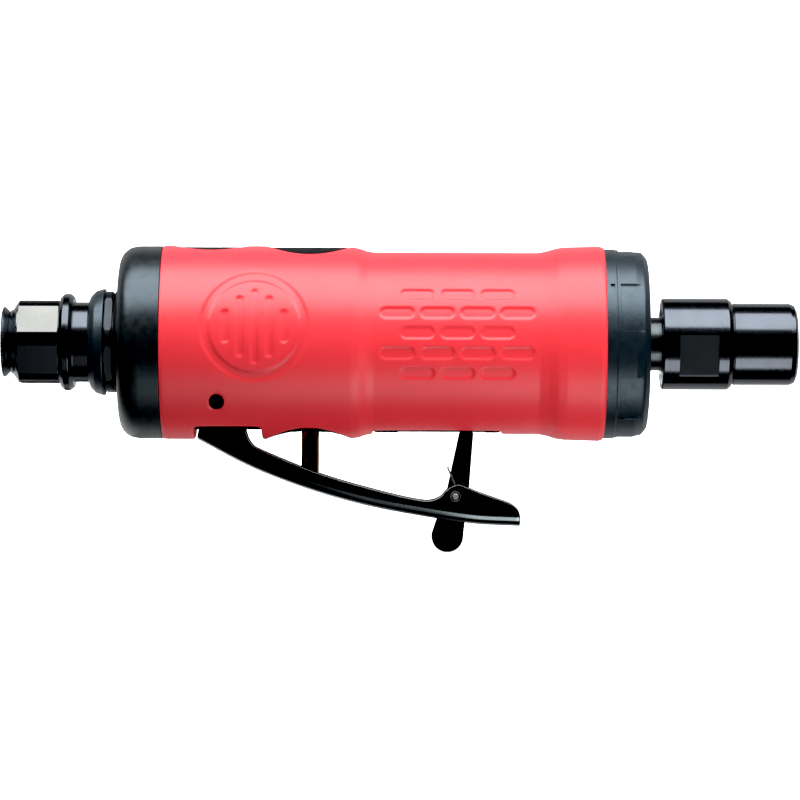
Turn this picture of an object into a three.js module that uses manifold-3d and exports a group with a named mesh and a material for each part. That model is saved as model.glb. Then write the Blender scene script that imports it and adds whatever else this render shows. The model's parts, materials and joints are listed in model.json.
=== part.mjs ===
// A straight pneumatic die grinder with a throttle lever, a fold-away safety lock and a 1/4 inch collet.
// Millimetres, +Z up. The tool lies along X with its collet at +X and its lever below, at -Z.
// The origin is on the spindle axis, on the flat stop at the bottom of the shank bore.

import * as THREE from 'three';
import { mergeVertices } from 'three/addons/utils/BufferGeometryUtils.js';
import Module from 'manifold-3d';

const wasm = await Module();
wasm.setup();

// ---------------------------------------------------------------- driving dimensions

const GAP = 0.3;                // clearance between neighbouring pieces
const VISIBLE_SIDES = 24;       // facets round an outer skin
const INNER_SIDES = 16;         // facets round a hidden piece

// stations along the axis
const PLUG_END = -134.35;
const INLET_END = -132.8;
const COLLAR_REAR = -116.5;
const CAP_REAR = -110.1;
const SLEEVE_REAR = -101.05;
const WAIST_REAR = -57.4;
const WAIST_FRONT = -23.5;
const SLEEVE_FRONT = -9.9;
const NOSE_CAP_REAR = -9.3;
const NOSE_CAP_FRONT = -0.8;
const NUT_REAR = 2.1;
const NUT_FRONT = 30.1;

// body radii
const BODY_R = 20.07;
const WAIST_R = 18.82;
const HOUSING_R = 16.7;
const SLEEVE_BORE_R = HOUSING_R + GAP;
const MOTOR_BORE_R = 13.1;
const AIR_PASSAGE_R = 4;

// air inlet, for a 1/4 inch pipe thread
const INLET_HEX = 16.8;
const INLET_HEX_ANGLE = 33.6;   // one hex face points this far above the horizontal
const INLET_BORE_R = 5.7;
const INLET_SHANK_R = 8;

// throttle valve, upright across the body
const VALVE_X = -70.58;
const VALVE_BORE_R = 5;
const STEM_R = 1.85;
const STEM_TIP_Z = -28.2;

// throttle lever and its pivot
const LEVER_PIVOT = { x: -89.4, z: -12.26 };
const LEVER_PIN_R = 1.5;
const LEVER_HALF_WIDTH = 5.5;
const SHEET = 1.5;              // lever sheet thickness
const EAR_R = 3.1;

// safety lock
const LOCK_PIVOT = { x: -40.47, z: -31.66 };
const LOCK_PIN_R = 0.75;
const LOCK_HALF_THICKNESS = 1.5;
const LOCK_SLOT_HALF_WIDTH = 2.2;
const LOCK_SLOT_FLOOR_Z = -14.6;

// vane motor
const ROTOR_R = 9.4;
const ROTOR_REAR = -54;
const ROTOR_FRONT = -25.3;
const LINER_R = 12.8;
const LINER_BORE_R = 10.6;
const LINER_OFFSET = 0.9;       // the liner's bore sits this far above the rotor's axis
const VANES = 5;
const VANE_THICKNESS = 1.3;
const REAR_BEARING = { x0: -61.6, x1: -55.6, bore: 3, outer: 9.5 };
const FRONT_BEARING = { x0: -23.1, x1: -16.1, bore: 4, outer: 11 };

// spindle, collet and nut
const NECK_R = 5.55;
const THREAD_R = 6.4;
const SHANK_R = 3.175;          // bore for a 1/4 inch shank
const NUT_R = 9.49;
const NUT_NOSE_R = 8.47;
const NUT_FLATS = 16.8;         // for a 17 mm wrench
const NUT_FLAT_ANGLE = -17;

// ---------------------------------------------------------------- finishes

function finish(color, roughness, metalness) {
  return new THREE.MeshStandardMaterial({ color, roughness, metalness });
}

const RED_RUBBER = finish(0xd8303a, 0.6, 0);
const BLACK_RUBBER = finish(0x1c1c1e, 0.75, 0);
const BLACK_COMPOSITE = finish(0x151517, 0.55, 0);
const BLACK_OXIDE = finish(0x22272b, 0.3, 0.9);
const BRIGHT_STEEL = finish(0xb9bcc0, 0.28, 1);
const BRONZE = finish(0x8a6a3a, 0.4, 0.9);
const CAST_IRON = finish(0x6d7074, 0.5, 0.9);
const VANE_FIBRE = finish(0x7a5a34, 0.8, 0);
const FELT = finish(0x8f8b80, 0.95, 0);
const NITRILE = finish(0x101010, 0.7, 0);
const BLACK_PLASTIC = finish(0x131315, 0.5, 0);

// ---------------------------------------------------------------- making and cutting solids

function solid(geometry) {
  geometry.deleteAttribute('normal');
  geometry.deleteAttribute('uv');
  const merged = mergeVertices(geometry);
  const corners = merged.index.array;
  const triangles = [];
  for (let i = 0; i < corners.length; i += 3) {
    const [a, b, c] = [corners[i], corners[i + 1], corners[i + 2]];
    if (a !== b && b !== c && c !== a) triangles.push(a, b, c);
  }
  return new wasm.Manifold(new wasm.Mesh({
    numProp: 3,
    vertProperties: new Float32Array(merged.attributes.position.array),
    triVerts: new Uint32Array(triangles),
  }));
}

function join(first, ...others) {
  return others.reduce((whole, other) => whole.add(other), first);
}

function cut(first, ...tools) {
  return tools.reduce((whole, tool) => whole.subtract(tool), first);
}

function vectors(pairs) {
  return pairs.map(([x, y]) => new THREE.Vector2(x, y));
}

// A profile lists [position along the axis, radius], up the outside first and then back down the inside.
function lathe(profile, sides) {
  const points = profile.map(([along, radius]) => new THREE.Vector2(radius, along));
  if (points[0].x > 0) points.push(points[0].clone());
  return new THREE.LatheGeometry(points, sides);
}

function turned(profile, sides = INNER_SIDES) {
  return solid(lathe(profile, sides).rotateZ(-Math.PI / 2));
}

function turnedUpright(profile, x, sides = INNER_SIDES) {
  return solid(lathe(profile, sides).rotateX(Math.PI / 2).translate(x, 0, 0));
}

function rod(x0, x1, radius, sides) {
  return turned([[x0, 0], [x0, radius], [x1, radius], [x1, 0]], sides);
}

function axialCylinder(x0, x1, radius, z) {
  const geometry = new THREE.CylinderGeometry(radius, radius, x1 - x0, 8);
  return geometry.rotateZ(Math.PI / 2).translate((x0 + x1) / 2, 0, z);
}

function rodAt(x0, x1, radius, y, z, sides = 12) {
  const geometry = new THREE.CylinderGeometry(radius, radius, x1 - x0, sides);
  return solid(geometry.rotateZ(-Math.PI / 2).translate((x0 + x1) / 2, y, z));
}

function ring(x0, x1, inner, outer, sides) {
  return turned([[x0, outer], [x1, outer], [x1, inner], [x0, inner]], sides);
}

function uprightRod(x, z0, z1, radius, sides) {
  return turnedUpright([[z0, 0], [z0, radius], [z1, radius], [z1, 0]], x, sides);
}

function uprightRing(x, z0, z1, inner, outer, sides) {
  return turnedUpright([[z0, outer], [z1, outer], [z1, inner], [z0, inner]], x, sides);
}

function crossRod({ x, z }, y0, y1, radius, sides = 16) {
  const geometry = new THREE.CylinderGeometry(radius, radius, y1 - y0, sides);
  return solid(geometry.translate(x, (y0 + y1) / 2, z));
}

function block(x0, x1, y0, y1, z0, z1) {
  const geometry = new THREE.BoxGeometry(x1 - x0, y1 - y0, z1 - z0);
  return solid(geometry.translate((x0 + x1) / 2, (y0 + y1) / 2, (z0 + z1) / 2));
}

function centredBlock(x0, x1, halfWidth, z0, z1) {
  return block(x0, x1, -halfWidth, halfWidth, z0, z1);
}

function outline(points) {
  return new THREE.Shape(vectors(points));
}

// A plate cut from an outline in X and Z, y0 to y1 thick.
function sidePlate(shape, y0, y1, curveSegments = 8) {
  const geometry = new THREE.ExtrudeGeometry(shape, { depth: y1 - y0, bevelEnabled: false, curveSegments });
  return solid(geometry.rotateX(Math.PI / 2).translate(0, y1, 0));
}

// An upright prism over an outline in X and Y, z0 to z1 high.
function uprightPrism(shape, z0, z1, curveSegments = 6) {
  const geometry = new THREE.ExtrudeGeometry(shape, { depth: z1 - z0, bevelEnabled: false, curveSegments });
  return solid(geometry.translate(0, 0, z0));
}

function ellipse(x0, x1, halfWidth) {
  const shape = new THREE.Shape();
  shape.absellipse((x0 + x1) / 2, 0, (x1 - x0) / 2, halfWidth, 0, Math.PI * 2);
  return shape;
}

// A prism along X with flats this far apart, one of them facing the given angle above -Y.
function flatsPrism(x0, x1, acrossFlats, count, faceAngle) {
  const cornerRadius = acrossFlats / 2 / Math.cos(Math.PI / count);
  const geometry = new THREE.CylinderGeometry(cornerRadius, cornerRadius, x1 - x0, count);
  const toFace = Math.PI / 2 - Math.PI / count - THREE.MathUtils.degToRad(faceAngle);
  return solid(geometry.rotateZ(-Math.PI / 2).rotateX(toFace).translate((x0 + x1) / 2, 0, 0));
}

function turnAboutX(geometry, degrees) {
  return geometry.rotateX(THREE.MathUtils.degToRad(degrees));
}

// Points on a helix as [u, v, along its axis].
function helixPoints({ radius, turns, perTurn, rise }) {
  const count = Math.round(turns * perTurn);
  return Array.from({ length: count + 1 }, (_, i) => {
    const angle = (i / perTurn) * Math.PI * 2;
    return [radius * Math.cos(angle), radius * Math.sin(angle), (rise * i) / count];
  });
}

// A round wire through the given points.
function wire(points, radius) {
  const path = new THREE.CatmullRomCurve3(points.map((point) => new THREE.Vector3(...point)));
  const corners = Array.from({ length: 6 }, (_, i) => {
    const angle = (i / 6) * Math.PI * 2;
    return [radius * Math.cos(angle), radius * Math.sin(angle)];
  });
  const steps = points.length - 1;
  return solid(new THREE.ExtrudeGeometry(outline(corners), { steps, extrudePath: path }));
}

const grinder = new THREE.Group();

function add(name, body, material) {
  const { vertProperties, triVerts } = body.getMesh();
  const geometry = new THREE.BufferGeometry();
  geometry.setAttribute('position', new THREE.BufferAttribute(new Float32Array(vertProperties), 3));
  geometry.setIndex(new THREE.BufferAttribute(new Uint32Array(triVerts), 1));
  geometry.computeVertexNormals();
  const mesh = new THREE.Mesh(geometry, material);
  mesh.name = name;
  grinder.add(mesh);
}

// ---------------------------------------------------------------- air inlet

function addInlet() {
  const bushing = turned([
    [INLET_END, 8.1], [-131.1, 9], [-122.9, 9], [-122.9, 8.1], [-122.5, 8.1],
    [-122.5, 9.4], [-121.7, 10.04], [-120.5, 10.04], [-119.7, 9.4], [-119.7, 8.3],
    [COLLAR_REAR, 8.3], [COLLAR_REAR, INLET_SHANK_R], [-98.3, INLET_SHANK_R],
    [-98.3, AIR_PASSAGE_R], [-118.5, AIR_PASSAGE_R], [-118.5, INLET_BORE_R], [INLET_END, INLET_BORE_R],
  ], VISIBLE_SIDES);
  const hexZone = ring(INLET_END - 1, -122.9, INLET_BORE_R, 12, VISIBLE_SIDES);
  const hexWaste = cut(hexZone, flatsPrism(INLET_END - 2, -120, INLET_HEX, 6, INLET_HEX_ANGLE));
  add('inlet_bushing', cut(bushing, hexWaste), BLACK_OXIDE);

  const dustPlug = turned([
    [PLUG_END + 0.8, 0], [PLUG_END + 0.8, 5.2], [PLUG_END, 5.2], [PLUG_END, 7.1], [PLUG_END + 0.3, 7.35],
    [-133.15, 6.6], [-133.15, 5.3], [-123.4, 4.9], [-123.4, 4], [-132.2, 4.3], [-132.2, 0],
  ], VISIBLE_SIDES);
  add('inlet_dust_plug', dustPlug, BLACK_PLASTIC);

  const screenHoles = [0, 60, 120, 180, 240, 300].map((angle) => solid(
    turnAboutX(axialCylinder(-120.9, -116.9, 0.9, 3.1), angle),
  ));
  add('inlet_screen', cut(rod(-119.4, -118.8, INLET_BORE_R - GAP), ...screenHoles), BRIGHT_STEEL);

  add('inlet_collar', turned([
    [COLLAR_REAR + 0.1, 9.2], [COLLAR_REAR + 0.7, 9.95], [-114.7, 10.75], [-113.9, 11.06], [-113.1, 11.06],
    [-113.1, INLET_SHANK_R + GAP], [COLLAR_REAR + 0.1, INLET_SHANK_R + GAP],
  ], VISIBLE_SIDES), BLACK_COMPOSITE);

  const nut = ring(-112.8, -111.3, INLET_SHANK_R + GAP, 10.95, VISIBLE_SIDES);
  const nutWaste = cut(
    ring(-114, -110, 9, 13, VISIBLE_SIDES),
    flatsPrism(-115, -109, 20.4, 6, INLET_HEX_ANGLE),
  );
  add('inlet_lock_nut', cut(nut, nutWaste), BLACK_OXIDE);
  add('inlet_washer', ring(-111, -110.4, INLET_SHANK_R + GAP, 10.5, VISIBLE_SIDES), BLACK_OXIDE);
  add('inlet_seal', ring(-108.3, -106.6, INLET_SHANK_R + GAP, 9.8), NITRILE);
}

// ---------------------------------------------------------------- rear cap, housing and grip sleeve

const LEVER_NOTCH = { x0: -94.4, x1: -80.5, halfWidth: 9.8 };
const STEM_WINDOW = { x0: -79.4, x1: -62.5, halfWidth: 9.1 };
const VALVE_WINDOW = { x0: -79.4, x1: -62.5, halfWidth: 8 };
const REAR_WINDOW = { x0: -98.7, x1: -83.5, halfWidth: 6 };
const LOCK_WINDOW = { x0: -57.6, x1: -31, halfWidth: 5 };
const LOCK_SLOT = { x0: -52.4, x1: -34.3 };

function window({ x0, x1, halfWidth }, inset, z0, z1) {
  return uprightPrism(ellipse(x0 + inset, x1 - inset, halfWidth - inset), z0, z1);
}

function slotBlock({ x0, x1, halfWidth }, inset, z0, z1) {
  return centredBlock(x0 + inset, x1 - inset, halfWidth - inset, z0, z1);
}

function addHousing() {
  const barrel = turned([
    [-108.4, 0], [-108.4, HOUSING_R - 1], [-107.4, HOUSING_R], [-10.9, HOUSING_R], [-10.9, 0],
  ], VISIBLE_SIDES);
  const limitR = (radius) => rod(-110, -10, radius, VISIBLE_SIDES);
  const inside = (pad, radius) => pad.intersect(limitR(radius));
  const pads = [
    inside(window(VALVE_WINDOW, GAP, 14, 25), 19.8),
    inside(window(REAR_WINDOW, GAP, 14, 25), 19.8),
    inside(window(STEM_WINDOW, GAP, -25, -14), 18.4),
    slotBlock(LEVER_NOTCH, GAP, -18, -14),
    inside(slotBlock(LOCK_WINDOW, GAP, -25, -14.6), 18.6),
  ];
  const motorBay = rod(-63.4, -10, MOTOR_BORE_R, VISIBLE_SIDES);
  const exhaustSlots = [0, 90, 180].map((angle) => solid(
    turnAboutX(new THREE.BoxGeometry(42, 5, 4).translate(-30.9, 0, 13.2), angle - 90),
  ));
  const leverSlot = centredBlock(LEVER_NOTCH.x0 + 0.1, -81.5, LEVER_HALF_WIDTH + 0.4, -25, -8.5);
  const lockSlot = centredBlock(LOCK_SLOT.x0, LOCK_SLOT.x1, LOCK_SLOT_HALF_WIDTH, -25, LOCK_SLOT_FLOOR_Z);
  const motorPort = rodAt(VALVE_X, -62, 1.9, 0, -9.6);
  const body = cut(
    join(barrel, ...pads),
    motorBay,
    ...exhaustSlots,
    rod(-109, -97.9, INLET_SHANK_R + GAP),
    rod(-109, -106.3, 10.1),
    rod(-98, VALVE_X, AIR_PASSAGE_R),
    uprightRod(VALVE_X, -25, 10, VALVE_BORE_R),
    motorPort,
    leverSlot,
    crossRod(LEVER_PIVOT, -18, 18, LEVER_PIN_R + GAP),
    lockSlot,
  );
  add('motor_housing', body, BLACK_COMPOSITE);
}

function addGripSleeve() {
  const skin = turned([
    [SLEEVE_REAR, BODY_R - 0.3], [SLEEVE_REAR + 0.4, BODY_R], [-62, 19.85], [-60.6, 19.65],
    [-58.8, 19.05], [WAIST_REAR, WAIST_R], [WAIST_FRONT, WAIST_R], [-21.6, 19.2], [-19.8, 19.75],
    [-18, 20], [-11, 20.2], [SLEEVE_FRONT, 19.7], [SLEEVE_FRONT, 19.1], [-11, 19.1],
    [-11, SLEEVE_BORE_R], [SLEEVE_REAR, SLEEVE_BORE_R],
  ], VISIBLE_SIDES);
  add('grip_sleeve', cut(
    skin,
    window(VALVE_WINDOW, 0, 12, 25),
    window(REAR_WINDOW, 0, 12, 25),
    window(STEM_WINDOW, 0, -25, -12),
    slotBlock(LEVER_NOTCH, 0, -25, -12),
    slotBlock(LOCK_WINDOW, 0, -25, -12),
    crossRod(LEVER_PIVOT, -18, 18, LEVER_PIN_R + 0.04),
  ), RED_RUBBER);
}

function addRearCap() {
  add('rear_cap', turned([
    [CAP_REAR, 12], [-109.6, 17.4], [-109.1, 18.9], [-108.25, 19.54], [-106.6, 19.96],
    [SLEEVE_REAR - GAP, 19.96], [SLEEVE_REAR - GAP, SLEEVE_BORE_R], [-108.7, SLEEVE_BORE_R],
    [-108.7, INLET_SHANK_R + GAP], [CAP_REAR, INLET_SHANK_R + GAP],
  ], VISIBLE_SIDES), BLACK_RUBBER);
}

// ---------------------------------------------------------------- throttle valve

function addValve() {
  const bushing = turnedUpright([
    [-17.9, 2.15], [-17.9, 4.7], [-13.4, 4.7], [-13.4, 3.9], [-11.8, 3.9], [-11.8, 4.7],
    [-6.6, 4.7], [-6.6, 3.4], [-11, 3.4], [-11, 2.15],
  ], VALVE_X);
  const ports = [
    crossRod({ x: VALVE_X, z: -9 }, -6, 6, 1.5, 12),
    rodAt(VALVE_X - 6, VALVE_X + 6, 1.5, 0, -9),
  ];
  add('valve_bushing', cut(bushing, ...ports), BRONZE);
  add('valve_bushing_o_ring', uprightRing(VALVE_X, -13.1, -12.1, 4.2, 4.7), NITRILE);
  add('valve_seat', uprightRing(VALVE_X, -6.3, -4.6, 2.9, 4.7), BRONZE);
  add('valve_stem', turnedUpright([
    [STEM_TIP_Z, 0], [STEM_TIP_Z, 0.6], [STEM_TIP_Z + 0.5, 1.5],
    [STEM_TIP_Z + 1.1, STEM_R], [-7.4, STEM_R], [-6.3, 1.3],
    [-4.3, 1.3], [-4.3, 3.4], [-3.6, 4.1], [-2, 4.1], [-1.4, 1.9], [0.6, 1.9], [0.6, 0],
  ], VALVE_X), BLACK_OXIDE);
  const helix = helixPoints({ radius: 3, turns: 5, perTurn: 12, rise: 10.2 });
  const spring = helix.map(([u, v, along]) => [VALVE_X + u, v, along - 1]);
  add('valve_spring', wire(spring, 0.4), BRIGHT_STEEL);
}

// ---------------------------------------------------------------- vane motor

function addBearing(name, { x0, x1, bore, outer }, balls) {
  const pitch = (bore + outer) / 2;
  const middle = (x0 + x1) / 2;
  const shoulder = 1.25;        // how far each ring's shoulder stands from the pitch circle
  const groove = 0.45;
  const half = 1.2;             // half the width of the ball groove
  add(`${name}_outer_ring`, turned([
    [x0, outer], [x1, outer], [x1, pitch + shoulder], [middle + half, pitch + shoulder],
    [middle, pitch + shoulder + groove], [middle - half, pitch + shoulder], [x0, pitch + shoulder],
  ]), BRIGHT_STEEL);
  add(`${name}_inner_ring`, turned([
    [x0, pitch - shoulder], [middle - half, pitch - shoulder], [middle, pitch - shoulder - groove],
    [middle + half, pitch - shoulder], [x1, pitch - shoulder], [x1, bore], [x0, bore],
  ]), BRIGHT_STEEL);
  const cage = ring(middle - 0.8, middle + 0.8, pitch - 0.5, pitch + 0.5);
  const ballR = shoulder + groove - GAP;
  const spheres = Array.from({ length: balls }, (_, i) => {
    const geometry = new THREE.SphereGeometry(ballR, 6, 4).translate(middle, 0, pitch);
    return solid(turnAboutX(geometry, (i * 360) / balls));
  });
  add(`${name}_ball_cage`, join(cage, ...spheres), BRIGHT_STEEL);
}

function addMotor() {
  const { x0: rearFace } = REAR_BEARING;
  const pinZ = -(LINER_R - 1.55);
  const pinR = 0.75;
  const shaft = turned([
    [-63, 0], [-63, 2.7], [rearFace - 1, 2.7], [rearFace - 1, 2.2], [rearFace, 2.2], [rearFace, 2.7],
    [ROTOR_REAR, 2.7], [ROTOR_REAR, ROTOR_R], [ROTOR_FRONT, ROTOR_R], [ROTOR_FRONT, 4.6], [-23.4, 4.6],
    [-23.4, 3.7], [-14.6, 3.7], [-14.6, 3.2], [-5.8, 3.2], [-5.8, 0],
  ]);
  const slotWidth = VANE_THICKNESS + 2 * GAP;
  const vaneSlots = [];
  for (let i = 0; i < VANES; i += 1) {
    const angle = (i * 360) / VANES;
    const slot = new THREE.BoxGeometry(40, slotWidth, 10).translate((ROTOR_REAR + ROTOR_FRONT) / 2, 0, 9.2);
    vaneSlots.push(solid(turnAboutX(slot, angle)).intersect(
      ring(ROTOR_REAR - GAP / 2, ROTOR_FRONT + GAP / 2, 4.3, 12),
    ));
    const vane = new THREE.BoxGeometry(ROTOR_FRONT - ROTOR_REAR, VANE_THICKNESS, 4.3);
    vane.translate((ROTOR_REAR + ROTOR_FRONT) / 2, 0, 6.95);
    add(`rotor_vane_${i + 1}`, solid(turnAboutX(vane, angle)), VANE_FIBRE);
  }
  add('rotor', cut(shaft, ...vaneSlots), CAST_IRON);

  const linerSlots = Array.from({ length: 5 }, (_, i) => {
    const start = ROTOR_REAR + 3.6 + i * 4.6;
    return block(start, start + 2, 7, 14, -3.5, 3.5);
  });
  add('cylinder_liner', cut(
    rod(ROTOR_REAR, ROTOR_FRONT, LINER_R, VISIBLE_SIDES),
    rodAt(ROTOR_REAR - 1, ROTOR_FRONT + 1, LINER_BORE_R, 0, LINER_OFFSET, VISIBLE_SIDES),
    rodAt(ROTOR_REAR - 1, ROTOR_REAR + 4, pinR + GAP, 0, pinZ, 8),
    rodAt(ROTOR_FRONT - 4, ROTOR_FRONT + 1, pinR + GAP, 0, pinZ, 8),
    ...linerSlots,
  ), CAST_IRON);

  const airPorts = [-35, -20].map((angle) => solid(
    turnAboutX(axialCylinder(-64, -52, 0.9, -11.3), angle),
  ));
  const rearPlate = turned([
    [-63.1, LINER_R], [-54.3, LINER_R], [-54.3, 3.3], [-55.3, 3.3], [-55.3, 9.8], [-63.1, 9.8],
  ]);
  add('rear_end_plate', cut(rearPlate, rodAt(-57, -54, pinR + GAP, 0, pinZ, 8), ...airPorts), CAST_IRON);
  add('rear_locating_pin', rodAt(-56.7, ROTOR_REAR + 3.7, pinR, 0, pinZ, 8), BRIGHT_STEEL);
  add('preload_washer', ring(-62.5, -61.95, 7.6, 9.3), BRIGHT_STEEL);
  const clip = ring(rearFace - 0.7, rearFace - GAP, 2.5, 4.1);
  add('rear_retaining_ring', cut(clip, centredBlock(rearFace - 2, rearFace, 1, 0, 5)), BRIGHT_STEEL);
  addBearing('rear_bearing', REAR_BEARING, 7);

  const frontPlate = turned([
    [-25, LINER_R], [-15.4, LINER_R], [-15.4, 11.3], [-23.4, 11.3], [-23.4, 5], [-25, 5],
  ]);
  add('front_end_plate', cut(frontPlate, rodAt(-26, -23, pinR + GAP, 0, pinZ, 8)), CAST_IRON);
  add('front_locating_pin', rodAt(ROTOR_FRONT - 3.7, -23.7, pinR, 0, pinZ, 8), BRIGHT_STEEL);
  addBearing('front_bearing', FRONT_BEARING, 8);
  add('bearing_spacer', ring(-15.8, -14.6, 4, 5.5), BRIGHT_STEEL);
}

// ---------------------------------------------------------------- front cap

function addFrontCap() {
  const shell = turned([
    [NOSE_CAP_REAR, 19.3], [-9, 19.63], [-7.9, 19.63], [-7.7, 19.5], [-3.7, 19.5], [-2.2, 19.1],
    [-1.2, 18.2], [NOSE_CAP_FRONT, 16.9], [NOSE_CAP_FRONT, 6], [-3.6, 6], [-3.6, 8.3], [-9, 8.3],
    [-9, 9.5], [-15.1, 9.5], [-15.1, LINER_R], [-4, LINER_R], [-4, 16.9], [NOSE_CAP_REAR, 16.9],
  ], VISIBLE_SIDES);
  const sixAngles = [0, 60, 120, 180, 240, 300];
  const pockets = sixAngles.map((angle) => solid(
    turnAboutX(new THREE.BoxGeometry(8, 10.4, 3).translate(-3.1, 0, 19.1 + 1.5), angle + 7.5),
  ));
  const ports = sixAngles.map((angle) => solid(
    turnAboutX(axialCylinder(-5, 1, 1.3, 14.6), angle),
  ));
  add('front_cap', cut(shell, ...pockets, ...ports), BLACK_COMPOSITE);
  add('front_gasket', ring(-10.7, NOSE_CAP_REAR - GAP, 17.2, 18.8, VISIBLE_SIDES), NITRILE);
  add('exhaust_silencer', ring(-9, -4.3, LINER_R + GAP, 16.6), FELT);
  add('spindle_seal', ring(-8.2, -3.9, NECK_R + GAP, 8), FELT);
}

// ---------------------------------------------------------------- spindle, collet and nut

function addSpindle() {
  add('spindle', turned([
    [-14.3, NECK_R], [2, NECK_R], [2.9, THREAD_R], [15.5, THREAD_R], [16.2, 5.9], [16.2, 5.5], [12.5, 4.9],
    [5.5, 4.9], [5.5, 3.5], [0.9, 3.5], [0, 2.6], [0, 0], [-5.4, 0], [-5.4, 3.5], [-14.3, 3.5],
  ]), BLACK_OXIDE);

  const body = turned([
    [6, 3.9], [6.6, 4.5], [12.4, 4.5], [16.2, 5.1], [17.2, 5.6], [18.2, 5.6], [29.3, 4.4],
    [29.3, SHANK_R], [6, SHANK_R],
  ]);
  const splits = [0, 90].map((angle) => solid(
    turnAboutX(new THREE.BoxGeometry(24, 0.7, 14).translate(21.5, 0, 0), angle + 45),
  ));
  add('collet', cut(body, ...splits), BLACK_OXIDE);

  const nut = turned([
    [NUT_REAR, 9.2], [NUT_REAR + 0.3, NUT_R], [15.7, NUT_R], [16.5, 8.9], [16.75, 8.2],
    [17, NUT_NOSE_R], [28.6, NUT_NOSE_R], [29.6, 8.1], [NUT_FRONT, 6.97], [NUT_FRONT, 4.72],
    [18.2, 5.95], [16.8, 6.1], [16.8, THREAD_R + GAP], [NUT_REAR + 1.1, THREAD_R + GAP], [NUT_REAR, 7.8],
  ], VISIBLE_SIDES);
  const flatCuts = [1, -1].map((side) => solid(turnAboutX(
    new THREE.BoxGeometry(8.1, 4, 14).translate(9.55, side * (NUT_FLATS / 2 + 2), 0),
    -NUT_FLAT_ANGLE,
  )));
  add('collet_nut', cut(nut, ...flatCuts), BLACK_OXIDE);
}

// ---------------------------------------------------------------- throttle lever and safety lock

const LEVER_UNDERSIDE = [
  [-93.4, -20.3], [-82.5, -25.9], [-70.6, -30.4], [-58.6, -33.7], [-46.2, -36], [-31.3, -37.8],
];
const LEVER_TIP = [[-27.9, -33.9], [-31.2, -32.3], [-35.3, -30.9], [-40.1, -29.2]];
const LEVER_SADDLE = [[-42.2, -30.3], [-45.7, -32.4], [-52, -31.6], [-64.5, -28.3], [-77, -24]];

function leverOutline() {
  const shape = new THREE.Shape();
  shape.moveTo(-93.9, -19.1);
  shape.splineThru(vectors(LEVER_UNDERSIDE));
  shape.lineTo(-28, -37.8);
  shape.lineTo(-27.1, -37.2);
  shape.lineTo(-27.1, -35.8);
  shape.splineThru(vectors(LEVER_TIP));
  shape.splineThru(vectors(LEVER_SADDLE));
  shape.lineTo(-81.8, -21.6);
  shape.lineTo(-83.9, -18);
  shape.lineTo(LEVER_PIVOT.x + EAR_R, LEVER_PIVOT.z);
  shape.absarc(LEVER_PIVOT.x, LEVER_PIVOT.z, EAR_R, 0, Math.PI);
  return shape;
}

function addLever() {
  const channelFloor = LEVER_UNDERSIDE.map(([x, z]) => [x - 0.3, z + SHEET * 1.08]);
  const channel = outline([
    [-96, -17.8], ...channelFloor, [-20, -37.4 + SHEET], [-20, 0], [-96, 0],
  ]);
  add('throttle_lever', cut(
    sidePlate(leverOutline(), -LEVER_HALF_WIDTH, LEVER_HALF_WIDTH, 3),
    sidePlate(channel, SHEET - LEVER_HALF_WIDTH, LEVER_HALF_WIDTH - SHEET),
    centredBlock(-44.4, -25, LOCK_SLOT_HALF_WIDTH, -42, -33),
    crossRod(LEVER_PIVOT, -8, 8, LEVER_PIN_R + GAP),
    crossRod(LOCK_PIVOT, -8, 8, LOCK_PIN_R + GAP, 12),
  ), BLACK_OXIDE);
  add('lever_pivot_pin', crossRod(LEVER_PIVOT, -11.4, 11.4, LEVER_PIN_R), BLACK_OXIDE);
}

function lockOutline() {
  const tab = { x: -42.1, z: -40, radius: 3.3 };
  const shape = new THREE.Shape();
  shape.moveTo(-36.7, -18.65);
  shape.lineTo(-39.8, -18.65);
  shape.lineTo(-42, -29.5);
  shape.splineThru(vectors([[-42.8, -33], [-44.7, -37.2]]));
  shape.absarc(tab.x, tab.z, tab.radius, Math.PI * 0.9, Math.PI * 1.94);
  shape.lineTo(-38.2, -36.5);
  shape.lineTo(-37.55, -27.5);
  return shape;
}

function addLock() {
  const plate = sidePlate(lockOutline(), -LOCK_HALF_THICKNESS, LOCK_HALF_THICKNESS, 6);
  add('lock_lever', cut(plate, crossRod(LOCK_PIVOT, -4, 4, LOCK_PIN_R + GAP, 12)), BLACK_OXIDE);

  const pinEnd = LEVER_HALF_WIDTH + GAP;
  add('lock_pivot_pin', join(
    crossRod(LOCK_PIVOT, -pinEnd - 0.3, pinEnd + 0.3, LOCK_PIN_R, 12),
    crossRod(LOCK_PIVOT, -pinEnd - 0.3, -pinEnd, 1.05, 12),
    crossRod(LOCK_PIVOT, pinEnd, pinEnd + 0.3, 1.05, 12),
  ), BRIGHT_STEEL);

  const coil = helixPoints({ radius: 1.7, turns: 2.25, perTurn: 10, rise: 1.5 });
  const turns = coil.map(([u, v, along]) => [LOCK_PIVOT.x + u, -3.6 + along, LOCK_PIVOT.z + v]);
  const hook = [[-40.6, -2.3, -29.2], [-41.9, -2.3, -26.2], [-42, -1.2, -25.7], [-41.95, 0.4, -25.7]];
  add('lock_spring', wire([[-37.7, -3.6, -33.2], ...turns, ...hook], 0.35), BRIGHT_STEEL);
}

addInlet();
addRearCap();
addHousing();
addGripSleeve();
addValve();
addMotor();
addFrontCap();
addSpindle();
addLever();
addLock();

export default grinder;
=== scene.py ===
"""A pneumatic die grinder in a plain studio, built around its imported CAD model."""

import json
from math import acos, atan2, cos, degrees, hypot, pi, radians, sin, sqrt, tan

import bmesh
import bpy
import numpy as np
from mathutils import Matrix, Vector


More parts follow.
